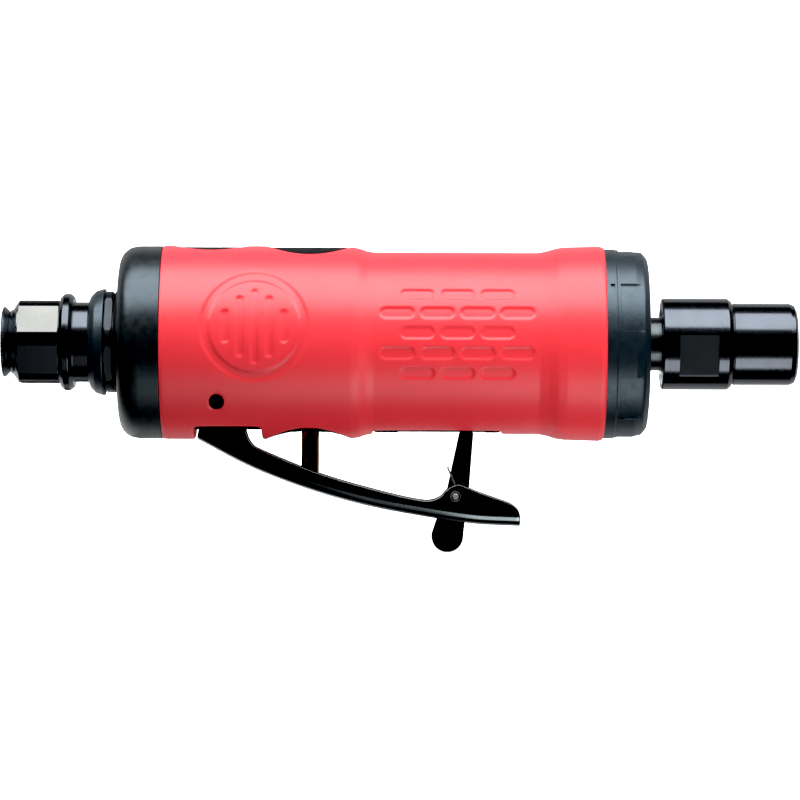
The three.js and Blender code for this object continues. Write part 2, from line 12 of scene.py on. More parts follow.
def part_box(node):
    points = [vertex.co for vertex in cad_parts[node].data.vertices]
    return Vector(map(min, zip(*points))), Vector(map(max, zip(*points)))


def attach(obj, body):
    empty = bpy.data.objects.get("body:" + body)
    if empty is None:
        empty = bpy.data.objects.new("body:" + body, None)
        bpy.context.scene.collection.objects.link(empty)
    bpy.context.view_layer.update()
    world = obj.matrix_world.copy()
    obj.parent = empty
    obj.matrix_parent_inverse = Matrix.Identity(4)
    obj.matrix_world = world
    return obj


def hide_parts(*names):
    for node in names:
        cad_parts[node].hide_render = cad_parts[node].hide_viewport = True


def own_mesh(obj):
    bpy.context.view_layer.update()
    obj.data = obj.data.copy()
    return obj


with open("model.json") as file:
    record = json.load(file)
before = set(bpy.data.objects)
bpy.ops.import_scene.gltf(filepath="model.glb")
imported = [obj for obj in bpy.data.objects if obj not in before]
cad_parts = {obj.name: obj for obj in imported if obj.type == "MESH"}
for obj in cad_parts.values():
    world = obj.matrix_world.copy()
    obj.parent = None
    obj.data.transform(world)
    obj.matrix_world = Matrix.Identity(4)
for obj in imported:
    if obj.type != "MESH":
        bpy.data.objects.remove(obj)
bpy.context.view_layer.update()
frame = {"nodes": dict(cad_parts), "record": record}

MM = 0.001


# ---------------------------------------------------------------- stations, in millimetres

def span(node, axis):
    """A CAD node's lowest and highest coordinate along one axis, in millimetres."""
    low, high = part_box(node)
    return low[axis] / MM, high[axis] / MM


X, Y, Z = 0, 1, 2
PLUG_X = span("inlet_dust_plug", X)
BUSHING_X = span("inlet_bushing", X)
COLLAR_X = span("inlet_collar", X)
LOCK_NUT_X = span("inlet_lock_nut", X)
WASHER_X = span("inlet_washer", X)
CAP_X = span("rear_cap", X)
HOUSING_X = span("motor_housing", X)
SLEEVE_X = span("grip_sleeve", X)
GASKET_X = span("front_gasket", X)
NOSE_X = span("front_cap", X)
NUT_X = span("collet_nut", X)
COLLET_X = span("collet", X)
SLEEVE_R = span("grip_sleeve", Z)[1]
CAP_R = span("rear_cap", Z)[1]
NOSE_R = span("front_cap", Z)[1]
NUT_R = span("collet_nut", Z)[1]
COLLAR_R = span("inlet_collar", Z)[1]
BUSHING_R = span("inlet_bushing", Z)[1]
PLUG_R = span("inlet_dust_plug", Z)[1]
VALVE_X = sum(span("valve_stem", X)) / 2
STEM_Z = span("valve_stem", Z)
PIVOT = (sum(span("lever_pivot_pin", X)) / 2, sum(span("lever_pivot_pin", Z)) / 2)
LOCK_PIVOT = (sum(span("lock_pivot_pin", X)) / 2, sum(span("lock_pivot_pin", Z)) / 2)
LEVER_X = span("throttle_lever", X)
LEVER_HALF = span("throttle_lever", Y)[1]
LOWEST = span("lock_lever", Z)[0]
GAP = 0.3
JOINT = 0.2       # how far the rear cap's rim reaches over the gap to the sleeve
SLEEVE_BORE = 17.0
HOUSING_R = 16.7


# ---------------------------------------------------------------- camera

VIEW_FROM = (-52, -820, -11.8)
VIEW_ROLL = -0.2  # degrees


def make_camera():
    """Square on to the tool's side, from a little under its axis, with a slight roll."""
    data = bpy.data.cameras.new("camera")
    data.lens = 177.8
    data.sensor_width = 36
    data.clip_start = 0.05
    data.clip_end = 50
    camera = bpy.data.objects.new("camera", data)
    bpy.context.scene.collection.objects.link(camera)
    roll = Matrix.Rotation(radians(VIEW_ROLL), 4, "Y")
    look_along_y = Matrix.Rotation(radians(90), 4, "X")
    eye = Vector([value * MM for value in VIEW_FROM])
    camera.matrix_world = Matrix.Translation(eye) @ roll @ look_along_y
    bpy.context.scene.camera = camera


make_camera()


# ---------------------------------------------------------------- materials

class Nodes:
    """A short way to write a material's node tree."""

    def __init__(self, name):
        self.material = bpy.data.materials.new(name)
        self.material.use_nodes = True
        self.tree = self.material.node_tree
        self.shader = self.tree.nodes["Principled BSDF"]

    def add(self, kind, **settings):
        node = self.tree.nodes.new(kind)
        for key, value in settings.items():
            setattr(node, key, value)
        return node

    def link(self, source, target):
        self.tree.links.new(source, target)

    def place(self, stretch=(1, 1, 1)):
        """Object coordinates in metres, stretched along each axis."""
        where = self.add("ShaderNodeTexCoord")
        mapping = self.add("ShaderNodeMapping")
        mapping.inputs["Scale"].default_value = stretch
        self.link(where.outputs["Object"], mapping.inputs["Vector"])
        return mapping.outputs["Vector"]

    def noise(self, scale, detail=3, stretch=(1, 1, 1)):
        node = self.add("ShaderNodeTexNoise")
        node.inputs["Scale"].default_value = scale
        node.inputs["Detail"].default_value = detail
        self.link(self.place(stretch), node.inputs["Vector"])
        return node.outputs["Fac"]

    def spread(self, value, low, high, from_low=0.3, from_high=0.7):
        node = self.add("ShaderNodeMapRange")
        node.inputs["From Min"].default_value = from_low
        node.inputs["From Max"].default_value = from_high
        node.inputs["To Min"].default_value = low
        node.inputs["To Max"].default_value = high
        self.link(value, node.inputs["Value"])
        return node.outputs["Result"]

    def mix(self, value, first, second):
        node = self.add("ShaderNodeMix", data_type="RGBA")
        node.inputs["A"].default_value = (*first, 1)
        node.inputs["B"].default_value = (*second, 1)
        self.link(value, node.inputs["Factor"])
        return node.outputs["Result"]

    def bump(self, height, distance, strength=1.0, after=None):
        node = self.add("ShaderNodeBump")
        node.inputs["Distance"].default_value = distance
        node.inputs["Strength"].default_value = strength
        self.link(height, node.inputs["Height"])
        if after is not None:
            self.link(after, node.inputs["Normal"])
        return node.outputs["Normal"]

    def set(self, **values):
        for key, value in values.items():
            self.shader.inputs[key.replace("_", " ")].default_value = value

    def drive(self, **sources):
        for key, source in sources.items():
            self.link(source, self.shader.inputs[key.replace("_", " ")])


def red_rubber():
    """The grip: matte overmoulded elastomer with a very fine moulded grain."""
    n = Nodes("red_rubber")
    tone = n.spread(n.noise(90, 4), 0, 1)
    n.drive(Base_Color=n.mix(tone, (0.90, 0.042, 0.058), (0.84, 0.037, 0.051)))
    n.drive(Roughness=n.spread(n.noise(1400, 2), 0.36, 0.44))
    grain = n.bump(n.noise(4200, 2), 0.00002, 0.35)
    n.drive(Normal=n.bump(n.noise(260, 3), 0.00008, 0.25, grain))
    n.set(Specular_IOR_Level=0.62)
    return n.material


def moulded_black(name, color, roughness, grain_scale, grain_depth, gloss=0.8):
    n = Nodes(name)
    n.set(Specular_IOR_Level=gloss, Specular_Tint=(0.70, 0.88, 1.0, 1))
    tone = n.spread(n.noise(140, 4), 0, 1)
    darker = tuple(c * 0.7 for c in color)
    n.drive(Base_Color=n.mix(tone, color, darker))
    n.drive(Roughness=n.spread(n.noise(700, 3), roughness - 0.05, roughness + 0.05))
    grain = n.bump(n.noise(grain_scale, 3), grain_depth, 0.6)
    n.drive(Normal=n.bump(n.noise(320, 3), 0.00005, 0.3, grain))
    return n.material


def turned_steel(name, color, roughness, streak=0.04, groove_depth=0.000004, speckle=0.000004):
    """Steel turned on a lathe: fine rings round the axis over a slightly grainy surface."""
    n = Nodes(name)
    rings = n.noise(1.0, 2, stretch=(9000, 30, 30))
    tone = n.spread(n.noise(120, 4), 0, 1)
    lighter = tuple(min(1, c * 1.25) for c in color)
    n.drive(Base_Color=n.mix(tone, color, lighter))
    n.drive(Roughness=n.spread(rings, roughness - streak, roughness + streak))
    grain = n.bump(n.noise(2400, 3), speckle, 0.7)
    n.drive(Normal=n.bump(rings, groove_depth, 0.5, grain))
    n.set(Metallic=1.0)
    return n.material


def plain_metal(name, color, roughness):
    n = Nodes(name)
    tone = n.spread(n.noise(160, 4), 0, 1)
    lighter = tuple(min(1, c * 1.2) for c in color)
    n.drive(Base_Color=n.mix(tone, color, lighter))
    n.drive(Roughness=n.spread(n.noise(900, 3), roughness - 0.05, roughness + 0.06))
    n.drive(Normal=n.bump(n.noise(2600, 3), 0.00001, 0.4))
    n.set(Metallic=1.0)
    return n.material


def soft_fibre(name, color, roughness):
    n = Nodes(name)
    strands = n.noise(2200, 5, stretch=(1, 2.5, 1))
    n.drive(Base_Color=n.mix(n.spread(strands, 0, 1), color, tuple(c * 0.6 for c in color)))
    n.drive(Normal=n.bump(strands, 0.00012, 0.8))
    n.set(Roughness=roughness)
    return n.material


MATERIALS = {
    "red_rubber": red_rubber(),
    "black_rubber": moulded_black("black_rubber", (0.0006, 0.0010, 0.0014), 0.34, 3800, 0.00002, 0.85),
    "black_composite": moulded_black(
        "black_composite", (0.0008, 0.0055, 0.0105), 0.395, 2600, 0.00005, 1.0,
    ),
    "black_plastic": moulded_black("black_plastic", (0.0012, 0.0016, 0.002), 0.3, 3000, 0.00001),
    "black_oxide_steel": turned_steel("black_oxide_steel", (0.066, 0.074, 0.086), 0.17, speckle=0.00001),
    "bright_steel": turned_steel("bright_steel", (0.52, 0.56, 0.60), 0.25),
    "bronze": turned_steel("bronze", (0.45, 0.25, 0.10), 0.3),
    "cast_iron": plain_metal("cast_iron", (0.30, 0.31, 0.33), 0.45),
    "vane_fibre": soft_fibre("vane_fibre", (0.20, 0.11, 0.05), 0.7),
    "felt": soft_fibre("felt", (0.32, 0.30, 0.25), 0.95),
    "nitrile": moulded_black("nitrile", (0.001, 0.001, 0.0012), 0.5, 3000, 0.00001),
}

# A darker, glossless copy of the housing's black for its lower half: painted shade.
HOUSING_PAINTED_SHADE = moulded_black("housing_painted_shade", (0.0008, 0.001, 0.0012), 0.7, 2600, 0.00002, 0.0)
HOUSING_BLACK = moulded_black("housing_black", (0.0012, 0.0016, 0.002), 0.55, 2600, 0.00002, 0.12)
# Brighter machined steel for the hex flat that faces the overhead light: its own milled finish, with a
# painted highlight in its brightness.
MILLED_FLAT_AND_HIGHLIGHT = turned_steel("milled_flat_and_highlight", (0.125, 0.125, 0.118), 0.24, 0.06, 0.00001, 0.000008)
WORN_RIVET = plain_metal("worn_rivet", (0.45, 0.50, 0.50), 0.55)
# Bright steel for the collet nut's rear rim: partly worn bare steel, partly a painted highlight where the
# chamfer catches light.
WORN_EDGE_AND_HIGHLIGHT = plain_metal("worn_edge_and_highlight", (0.75, 0.78, 0.8), 0.3)
NECK_STEEL = plain_metal("neck_steel", (0.062, 0.072, 0.074), 0.25)
LEVER_STEEL = turned_steel("lever_steel", (0.17, 0.20, 0.21), 0.14, speckle=0.000004)
PHOSPHATE = plain_metal("phosphate", (0.035, 0.04, 0.045), 0.34)
SHADED_STEEL = plain_metal("shaded_steel", (0.008, 0.008, 0.009), 0.6)
STEM_BRONZE = turned_steel("stem_bronze", (0.16, 0.075, 0.025), 0.22)


# ---------------------------------------------------------------- placing pieces

NODE_BODY = {
    node: body
    for body, nodes in frame["record"]["behaviour"]["bodies"].items()
    for node in nodes
}


def finish_mesh(name, vertices, faces, sharp_angle=35):
    """An object from vertices in millimetres, smooth-shaded but for its sharp edges."""
    mesh = bpy.data.meshes.new(name)
    mesh.from_pydata([tuple(v) for v in np.asarray(vertices) * MM], [], [tuple(f) for f in faces])
    mesh.polygons.foreach_set("use_smooth", [True] * len(mesh.polygons))
    mesh.set_sharp_from_angle(angle=radians(sharp_angle))
    mesh.update()
    piece = bpy.data.objects.new(name, mesh)
    bpy.context.scene.collection.objects.link(piece)
    return piece


def settle(piece, node, slot=None, material=None, stands_for=True):
    """Give a piece its finish, and have it ride and stand for its CAD node."""
    slots = {part["node"]: part["material_slot"] for part in frame["record"]["subparts"]}
    slot = slot or slots[node]
    piece.name = f"{node}_surface"
    piece.data.materials.clear()
    piece.data.materials.append(material or MATERIALS[slot])
    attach(piece, NODE_BODY[node])
    if stands_for:
        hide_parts(node)
    return piece


def second_finish(piece, material, chosen):
    """Give the faces picked by chosen(middle, normal), in millimetres, another finish."""
    piece.data.materials.append(material)
    index = len(piece.data.materials) - 1
    for face in piece.data.polygons:
        if chosen(face.center / MM, face.normal):
            face.material_index = index


def apply_modifiers(piece):
    graph = bpy.context.evaluated_depsgraph_get()
    mesh = bpy.data.meshes.new_from_object(piece.evaluated_get(graph))
    piece.modifiers.clear()
    piece.data = mesh


def bevel(piece, width, segments=2, angle=40, clamp=True):
    modifier = piece.modifiers.new("bevel", "BEVEL")
    modifier.use_clamp_overlap = clamp
    modifier.width = width * MM
    modifier.segments = segments
    modifier.limit_method = "ANGLE"
    modifier.angle_limit = radians(angle)
    modifier.harden_normals = False
    apply_modifiers(piece)
    piece.data.polygons.foreach_set("use_smooth", [True] * len(piece.data.polygons))
    piece.data.set_sharp_from_angle(angle=radians(60))


# ---------------------------------------------------------------- turned shapes

def fillet(corners, closed=True, steps=5, hold=0.1):
    """A profile of (along, radius, fillet) corners, rounded, with a short straight held beside each."""
    points = []
    count = len(corners)
    for i, corner in enumerate(corners):
        here = Vector(corner[:2])
        size = corner[2] if len(corner) > 2 else 0
        ends = not closed and i in (0, count - 1)
        if size <= 0 or ends:
            points.append(tuple(here))
            continue
        before = Vector(corners[i - 1][:2]) - here
        after = Vector(corners[(i + 1) % count][:2]) - here
        reach = 0.48 * min(before.length, after.length)
        u, v = before.normalized(), after.normalized()
        half = u.angle(v) / 2
        if half > radians(88):
            points.append(tuple(here))
            continue
        tangent = min(size / tan(half), reach)
        radius = tangent * tan(half)
        centre = here + (u + v).normalized() * (radius / sin(half))
        start, end = here + u * tangent, here + v * tangent
        if tangent + hold < reach:
            points.append(tuple(start + u * hold))
        a0 = atan2(*(start - centre).yx)
        turn = (atan2(*(end - centre).yx) - a0 + pi) % (2 * pi) - pi
        for k in range(steps + 1):
            a = a0 + turn * k / steps
            points.append((centre.x + radius * cos(a), centre.y + radius * sin(a)))
        if tangent + hold < reach:
            points.append(tuple(end + v * hold))
    return points


def densify(points, step, closed=True):
    """The same profile with no stretch longer than step."""
    dense = []
    pairs = list(zip(points, points[1:] + points[:1])) if closed else list(zip(points, points[1:]))
    for (x0, r0), (x1, r1) in pairs:
        count = max(1, int(np.ceil(hypot(x1 - x0, r1 - r0) / step)))
        dense += [(x0 + (x1 - x0) * k / count, r0 + (r1 - r0) * k / count) for k in range(count)]
    if not closed:
        dense.append(points[-1])
    return dense


def angles_with(count, extra=()):
    """Angles round the axis in degrees, up from the horizontal on the -Y side, with extra ones paired."""
    every = set(np.round(np.arange(count) * 360 / count, 4))
    for angle in extra:
        for shift in (-0.16, 0.16):
            every.add(round((angle + shift) % 360, 4))
    ordered = sorted(every)
    kept = [a for i, a in enumerate(ordered) if a - ordered[i - 1] > 0.12 or i == 0]
    return np.radians(kept)


def revolve(name, profile, angles=None, carve=None, closed=True, sharp_angle=35):
    """Turn a profile of (x, radius) round the X axis. carve(x, radius, angle) may return other radii."""
    if angles is None:
        angles = angles_with(128)
    profile = np.array(profile, float)
    xs = np.repeat(profile[:, :1], len(angles), 1)
    rs = np.repeat(profile[:, 1:], len(angles), 1)
    turns = np.repeat(np.array(angles)[None, :], len(profile), 0)
    if carve is not None:
        xs, rs = carve(xs, rs, turns)
    grid = np.stack([xs, -rs * np.cos(turns), rs * np.sin(turns)], -1)
    rows, columns = grid.shape[:2]
    vertices = grid.reshape(-1, 3)
    index = np.arange(rows * columns).reshape(rows, columns)
    last = rows if closed else rows - 1
    faces = []
    for i in range(last):
        a, b = index[i], index[(i + 1) % rows]
        quads = np.stack([a, b, np.roll(b, -1), np.roll(a, -1)], -1)
        faces += quads.tolist()
    piece = finish_mesh(name, vertices, faces, sharp_angle)
    if not closed:
        close_poles(piece)
    return piece


def close_poles(piece):
    """Merge the vertices of a row that lies on the axis into one."""
    shape = bmesh.new()
    shape.from_mesh(piece.data)
    bmesh.ops.remove_doubles(shape, verts=shape.verts, dist=1e-7)
    shape.to_mesh(piece.data)
    shape.free()


def flats(count, across, face_angle, x0, x1):
    """A carve that mills flats this far apart between two stations."""
    def carve(xs, rs, turns):
        limit = np.full(rs.shape, np.inf)
        for k in range(count):
            away = turns - radians(face_angle) - k * 2 * pi / count
            facing = np.cos(away)
            limit = np.where(facing > 0.2, np.minimum(limit, across / 2 / np.maximum(facing, 0.2)), limit)
        milled = (xs > x0) & (xs < x1)
        return xs, np.where(milled, np.minimum(rs, limit), rs)
    return carve


def swing(piece, axis, centre=(0, 0)):
    """Carry a piece turned about X onto an upright (Z) or a cross (Y) axis through centre, in mm."""
    shape = piece.data
    points = np.empty(len(shape.vertices) * 3)
    shape.vertices.foreach_get("co", points)
    along, u, v = points.reshape(-1, 3).T
    cx, cz = centre[0] * MM, centre[1] * MM
    if axis == "z":
        moved = np.stack([cx + v, u, along], -1)
    else:
        moved = np.stack([cx + u, along, cz + v], -1)
    shape.vertices.foreach_set("co", moved.ravel())
    if axis == "y":
        shape.flip_normals()
    shape.update()
    return piece


def outward(piece):
    """Turn every face's normal outward."""
    shape = bmesh.new()
    shape.from_mesh(piece.data)
    bmesh.ops.recalc_face_normals(shape, faces=shape.faces)
    shape.to_mesh(piece.data)
    shape.free()
    return piece


# ---------------------------------------------------------------- blocks, plates and cuts

def prism(name, outline, low, high, axis="y"):
    """A closed outline pushed between two levels: (x, z) along Y, or (x, y) along Z."""
    count = len(outline)
    place = (lambda p, t: (p[0], t, p[1])) if axis == "y" else (lambda p, t: (p[0], p[1], t))
    vertices = [place(p, low) for p in outline] + [place(p, high) for p in outline]
    faces = [list(range(count)), list(range(count, 2 * count))]
    faces += [(i, (i + 1) % count, count + (i + 1) % count, count + i) for i in range(count)]
    return outward(finish_mesh(name, vertices, faces))


def box(name, x, y, z):
    return prism(name, [(x[0], y[0]), (x[1], y[0]), (x[1], y[1]), (x[0], y[1])], z[0], z[1], "z")


def boolean(piece, *others, operation="DIFFERENCE"):
    """Cut, join or intersect with other meshes, which are used up."""
    for other in others:
        modifier = piece.modifiers.new("cut", "BOOLEAN")
        modifier.operation = operation
        modifier.solver = "EXACT"
        modifier.object = other
        apply_modifiers(piece)
        bpy.data.objects.remove(other)
    return piece


def even_shading(piece, sharp_angle=40):
    """Smooth shading led by the large faces, with edges over the angle kept sharp."""
    piece.data.polygons.foreach_set("use_smooth", [True] * len(piece.data.polygons))
    piece.data.set_sharp_from_angle(angle=radians(sharp_angle))
    modifier = piece.modifiers.new("even", "WEIGHTED_NORMAL")
    modifier.keep_sharp = True
    modifier.weight = 60
    apply_modifiers(piece)


def smooth_curve(points, count=12, tension=0.5):
    """A Catmull-Rom curve through the points."""
    points = np.array(points, float)
    ends = np.vstack([2 * points[0] - points[1], points, 2 * points[-1] - points[-2]])
    curve = []
    for i in range(1, len(ends) - 2):
        p0, p1, p2, p3 = ends[i - 1:i + 3]
        for t in np.arange(count) / count:
            m1, m2 = tension * (p2 - p0), tension * (p3 - p1)
            curve.append(
                (2 * t**3 - 3 * t**2 + 1) * p1 + (t**3 - 2 * t**2 + t) * m1
                + (3 * t**2 - 2 * t**3) * p2 + (t**3 - t**2) * m2
            )
    curve.append(points[-1])
    return [tuple(p) for p in curve]


# ---------------------------------------------------------------- air inlet

HEX_ANGLE = 33.6
HEX_ACROSS = 16.8


def flat_edges(count, face_angle, half_angle):
    """The angles in degrees at which milled flats meet the round."""
    return [face_angle + k * 360 / count + side * half_angle for k in range(count) for side in (-1, 1)]


def make_inlet():
    x0, x1 = PLUG_X[0], BUSHING_X[0]
    plug = revolve("dust_plug", fillet([
        (x0 + 0.8, 0), (x0 + 0.8, 5.2, 0.3), (x0, 5.2, 0.2),
        (x0, PLUG_R - 0.25, 0.2), (x0 + 0.35, PLUG_R, 0.2),
        (x0 + 0.8, 7.0, 0.8), (x1 - 0.05, 6.25, 0.05), (x1 - 0.05, 5.3), (-123.4, 4.9, 0.2), (-123.4, 4),
        (-132.2, 4.3), (-132.2, 0),
    ], closed=False, steps=4, hold=0.05), closed=False)
    settle(outward(plug), "inlet_dust_plug")

    edges = flat_edges(6, HEX_ANGLE, degrees(acos(HEX_ACROSS / 2 / 9)))
    hex_end = -122.5
    shape = fillet([
        (x1, 6.4, 0.1), (x1 + 0.7, 6.9, 0.3), (x1 + 1.75, 8.45, 0.4),
        (x1 + 2.1, 9, 0.08), (hex_end, 9, 0.1),
        (hex_end, 8.1), (-122.25, 8.1),
        (-122.25, 9.4, 0.12), (-121.5, BUSHING_R, 0.25), (-120.3, BUSHING_R, 0.25), (-119.5, 9.4, 0.12),
        (-119.5, 8.3), (-116.5, 8.3), (-116.5, 8), (-98.3, 8), (-98.3, 4), (-118.5, 4),
        (-118.5, 5.7), (x1 + 0.3, 5.7), (x1, 6, 0.1),
    ], steps=4, hold=0.05)
    bushing = revolve(
        "inlet_bushing", densify(shape, 0.8), angles_with(120, edges),
        flats(6, HEX_ACROSS, HEX_ANGLE, x1 - 1, hex_end + 0.001), sharp_angle=25,
    )
    settle(outward(bushing), "inlet_bushing")
    # Only the hex flat facing the overhead light takes the brighter finish: painted highlight over the
    # milled finish.
    second_finish(bushing, MILLED_FLAT_AND_HIGHLIGHT, lambda at, facing: (
        x1 + 1.2 < at.x < hex_end and 8.2 < hypot(at.y, at.z) < 8.98 and abs(facing.x) < 0.1
        and abs(degrees(atan2(facing.z, -facing.y)) - HEX_ANGLE) < 4
    ))

    x0, x1 = COLLAR_X
    collar = revolve("inlet_collar", fillet([
        (x0, 8.7, 0.2), (x0 + 0.4, 9.6, 0.4), (x0 + 1.4, 10.6, 0.8),
        (-113.5, COLLAR_R, 0.6), (x1, COLLAR_R, 0.15),
        (x1, 8.3), (x0, 8.3),
    ], steps=6))
    settle(outward(collar), "inlet_collar")

    x0, x1 = LOCK_NUT_X
    radius, across = 10.95, 20.4
    edges = flat_edges(6, HEX_ANGLE, degrees(acos(across / 2 / radius)))
    nut = revolve("inlet_lock_nut", fillet([
        (x0, radius - 0.25, 0.1), (x0 + 0.25, radius, 0.1),
        (x1 - 0.2, radius, 0.1), (x1, radius - 0.2, 0.1),
        (x1, 8.3), (x0, 8.3),
    ], steps=3, hold=0.03), angles_with(120, edges), flats(6, across, HEX_ANGLE, x0 - 1, x1 + 1))
    settle(outward(nut), "inlet_lock_nut", material=PHOSPHATE)

    x0, x1 = WASHER_X
    washer = revolve("inlet_washer", fillet([
        (x0, 10.5, 0.15), (x1, 10.5, 0.15), (x1, 8.3), (x0, 8.3),
    ], steps=3, hold=0.03))
    settle(outward(washer), "inlet_washer", material=SHADED_STEEL)


# ---------------------------------------------------------------- rear cap, front cap, gasket

def make_caps():
    x0, x1 = CAP_X
    shoulder = smooth_curve([
        (x0 + 0.15, 15.5), (-109.85, 17.0), (-109.35, 18.2), (-108.4, 19.2), (-107.2, 19.75),
        (-105.8, CAP_R - 0.02), (-104.5, CAP_R),
    ], 5)
    rear = revolve("rear_cap", [(x0, 12)] + shoulder + fillet([
        (-104.4, CAP_R), (x1 + JOINT, CAP_R, 0.1),
        (x1 + JOINT, SLEEVE_BORE + 0.3), (x1, SLEEVE_BORE + 0.3),
        (x1, SLEEVE_BORE), (-108.7, SLEEVE_BORE), (-108.7, 8.3), (x0, 8.3),
    ], closed=False, steps=4, hold=0.05), sharp_angle=50)
    settle(outward(rear), "rear_cap")

    x0, x1 = GASKET_X
    gasket = revolve("front_gasket", fillet([
        (x0, 18.8, 0.3), (x1, 18.8, 0.3), (x1, 17.2), (x0, 17.2),
    ]))
    settle(outward(gasket), "front_gasket")

    x0, x1 = NOSE_X
    pocket_x, pocket_r, pocket_half = -7.1, 19.08, 15.6
    centres = [22.5 + 60 * k for k in range(6)]
    notch_x, notch_angle, notch_half = (-9.15, -8.3), 35.8, 1.9
    edges = [c + side * pocket_half for c in centres for side in (-1, 1)]
    edges += [notch_angle - notch_half, notch_angle + notch_half]

    def pockets(xs, rs, turns):
        turn = np.degrees(turns)
        pocketed = np.zeros(rs.shape, bool)
        for centre in centres:
            pocketed |= np.abs((turn - centre + 180) % 360 - 180) < pocket_half
        pocketed &= xs > pocket_x
        rs = np.where(pocketed, np.minimum(rs, pocket_r - 0.05 * (xs - pocket_x) / 6), rs)
        notched = (xs > notch_x[0]) & (xs < notch_x[1]) & (rs > 19)
        notched &= np.abs((turn - notch_angle + 180) % 360 - 180) < notch_half
        return xs, np.where(notched, rs - 0.45, rs)

    walls = [pocket_x, notch_x[0], notch_x[1]]
    profile = densify(fillet([
        (x0, 19.3, 0.1), (x0 + 0.3, NOSE_R, 0.12),
        (-7.9, NOSE_R, 0.12), (-7.7, 19.5, 0.1), (-3.9, 19.5, 1.8),
        (-2.06, 18.85, 1.2), (-1.0, 17.6, 1.4), (x1 - 0.13, 15.2, 0.8),
        (x1, 13, 0.4), (x1, 6, 0.2), (-3.6, 6),
        (-3.6, 8.3),
        (-9, 8.3), (-9, 9.5), (-15.1, 9.5), (-15.1, 12.8), (-4, 12.8), (-4, 16.9), (x0, 16.9),
    ], steps=6, hold=0.06), 0.7)
    outside = []
    for (xa, ra), (xb, rb) in zip(profile, profile[1:] + profile[:1]):
        outside.append((xa, ra))
        for wall in walls:
            if min(ra, rb) > 19 and xa < wall < xb:
                share = (wall - xa) / (xb - xa)
                radius = ra + (rb - ra) * share
                outside += [(wall - 0.03, radius), (wall + 0.03, radius)]
    front = revolve("front_cap", outside, angles_with(144, edges), pockets, sharp_angle=32)
    outward(front)
    for angle in range(0, 360, 60):
        a = radians(angle)
        port = revolve("port", [(-5, 0), (-5, 1.3), (-1.05, 1.3), (-0.6, 1.75), (1, 1.75), (1, 0)],
                       angles_with(32), closed=False)
        shift = Matrix.Translation((0, 14.6 * sin(a) * MM, 14.6 * cos(a) * MM))
        port.data.transform(shift)
        boolean(front, outward(port))
    front.data.set_sharp_from_angle(angle=radians(32))
    settle(front, "front_cap")


# ---------------------------------------------------------------- spindle, collet and nut

def make_nose():
    spindle = revolve("spindle", fillet([
        (-5.4, 0), (-5.4, 3.5), (-14.3, 3.5), (-14.3, 5.55, 0.2), (2, 5.55, 0.15), (2.9, 6.4, 0.2),
        (15.5, 6.4, 0.2), (16.2, 5.9, 0.1), (16.2, 5.5), (12.5, 4.9), (5.5, 4.9), (5.5, 3.5),
        (0.9, 3.5), (0, 2.6), (0, 0),
    ], closed=False, steps=4, hold=0.05), closed=False)
    settle(outward(spindle), "spindle", material=NECK_STEEL)

    x1 = COLLET_X[1]
    collet = revolve("collet", fillet([
        (6, 3.9, 0.1), (6.6, 4.5, 0.1), (12.4, 4.5), (16.2, 5.1), (17.2, 5.6), (18.2, 5.6),
        (x1, 4.4, 0.15), (x1, 3.55), (x1 - 0.35, 3.175, 0.1), (6, 3.175),
    ], steps=4, hold=0.05), angles_with(96))
    outward(collet)
    for angle in (45, 135):
        slit = box("slit", (9.5, 40), (-0.3, 0.3), (-8, 8))
        slit.data.transform(Matrix.Rotation(radians(angle), 4, "X"))
        boolean(collet, slit)
    collet.data.set_sharp_from_angle(angle=radians(35))
    settle(collet, "collet")

    x0, x1 = NUT_X
    flat_x, across, face_angle = (5.5, 13.6), 16.8, -17
    edges = flat_edges(2, face_angle, degrees(acos(across / 2 / NUT_R)))
    corners = fillet([
        (x0, 9.2, 0.1), (x0 + 0.3, NUT_R, 0.1), (15.7, NUT_R, 0.3), (16.5, 8.9, 0.15), (16.75, 8.2, 0.1),
        (17, 8.47, 0.1), (28.6, 8.47, 0.8), (29.6, 8.1, 0.5), (x1, 6.97, 0.15), (x1, 4.9, 0.1),
        (x1 - 0.25, 4.72), (18.2, 5.95), (16.8, 6.1), (16.8, 6.7),
        (x0 + 2, 6.7), (x0 + 2, 8.4, 0.15), (x0, 8.55, 0.1),
    ], steps=5, hold=0.06)
    profile = []
    for (xa, ra), (xb, rb) in zip(corners, corners[1:] + corners[:1]):
        profile.append((xa, ra))
        for wall in flat_x:
            if min(ra, rb) > 9 and xa < wall < xb:
                profile += [(wall - 0.02, ra), (wall + 0.02, ra)]
    nut = revolve(
        "collet_nut", densify(profile, 1.5), angles_with(144, edges),
        flats(2, across, face_angle, *flat_x), sharp_angle=28,
    )
    settle(outward(nut), "collet_nut")
    # The rear rim and counterbore: worn bare steel with a painted highlight.
    second_finish(nut, WORN_EDGE_AND_HIGHLIGHT, lambda at, facing: at.x < x0 + 2.05 and hypot(at.y, at.z) < 8.75)
    second_finish(nut, PHOSPHATE, lambda at, facing: (
        flat_x[0] < at.x < flat_x[1] and abs(facing.x) < 0.1 and hypot(at.y, at.z) < NUT_R - 0.03
    ))


# ---------------------------------------------------------------- grip sleeve

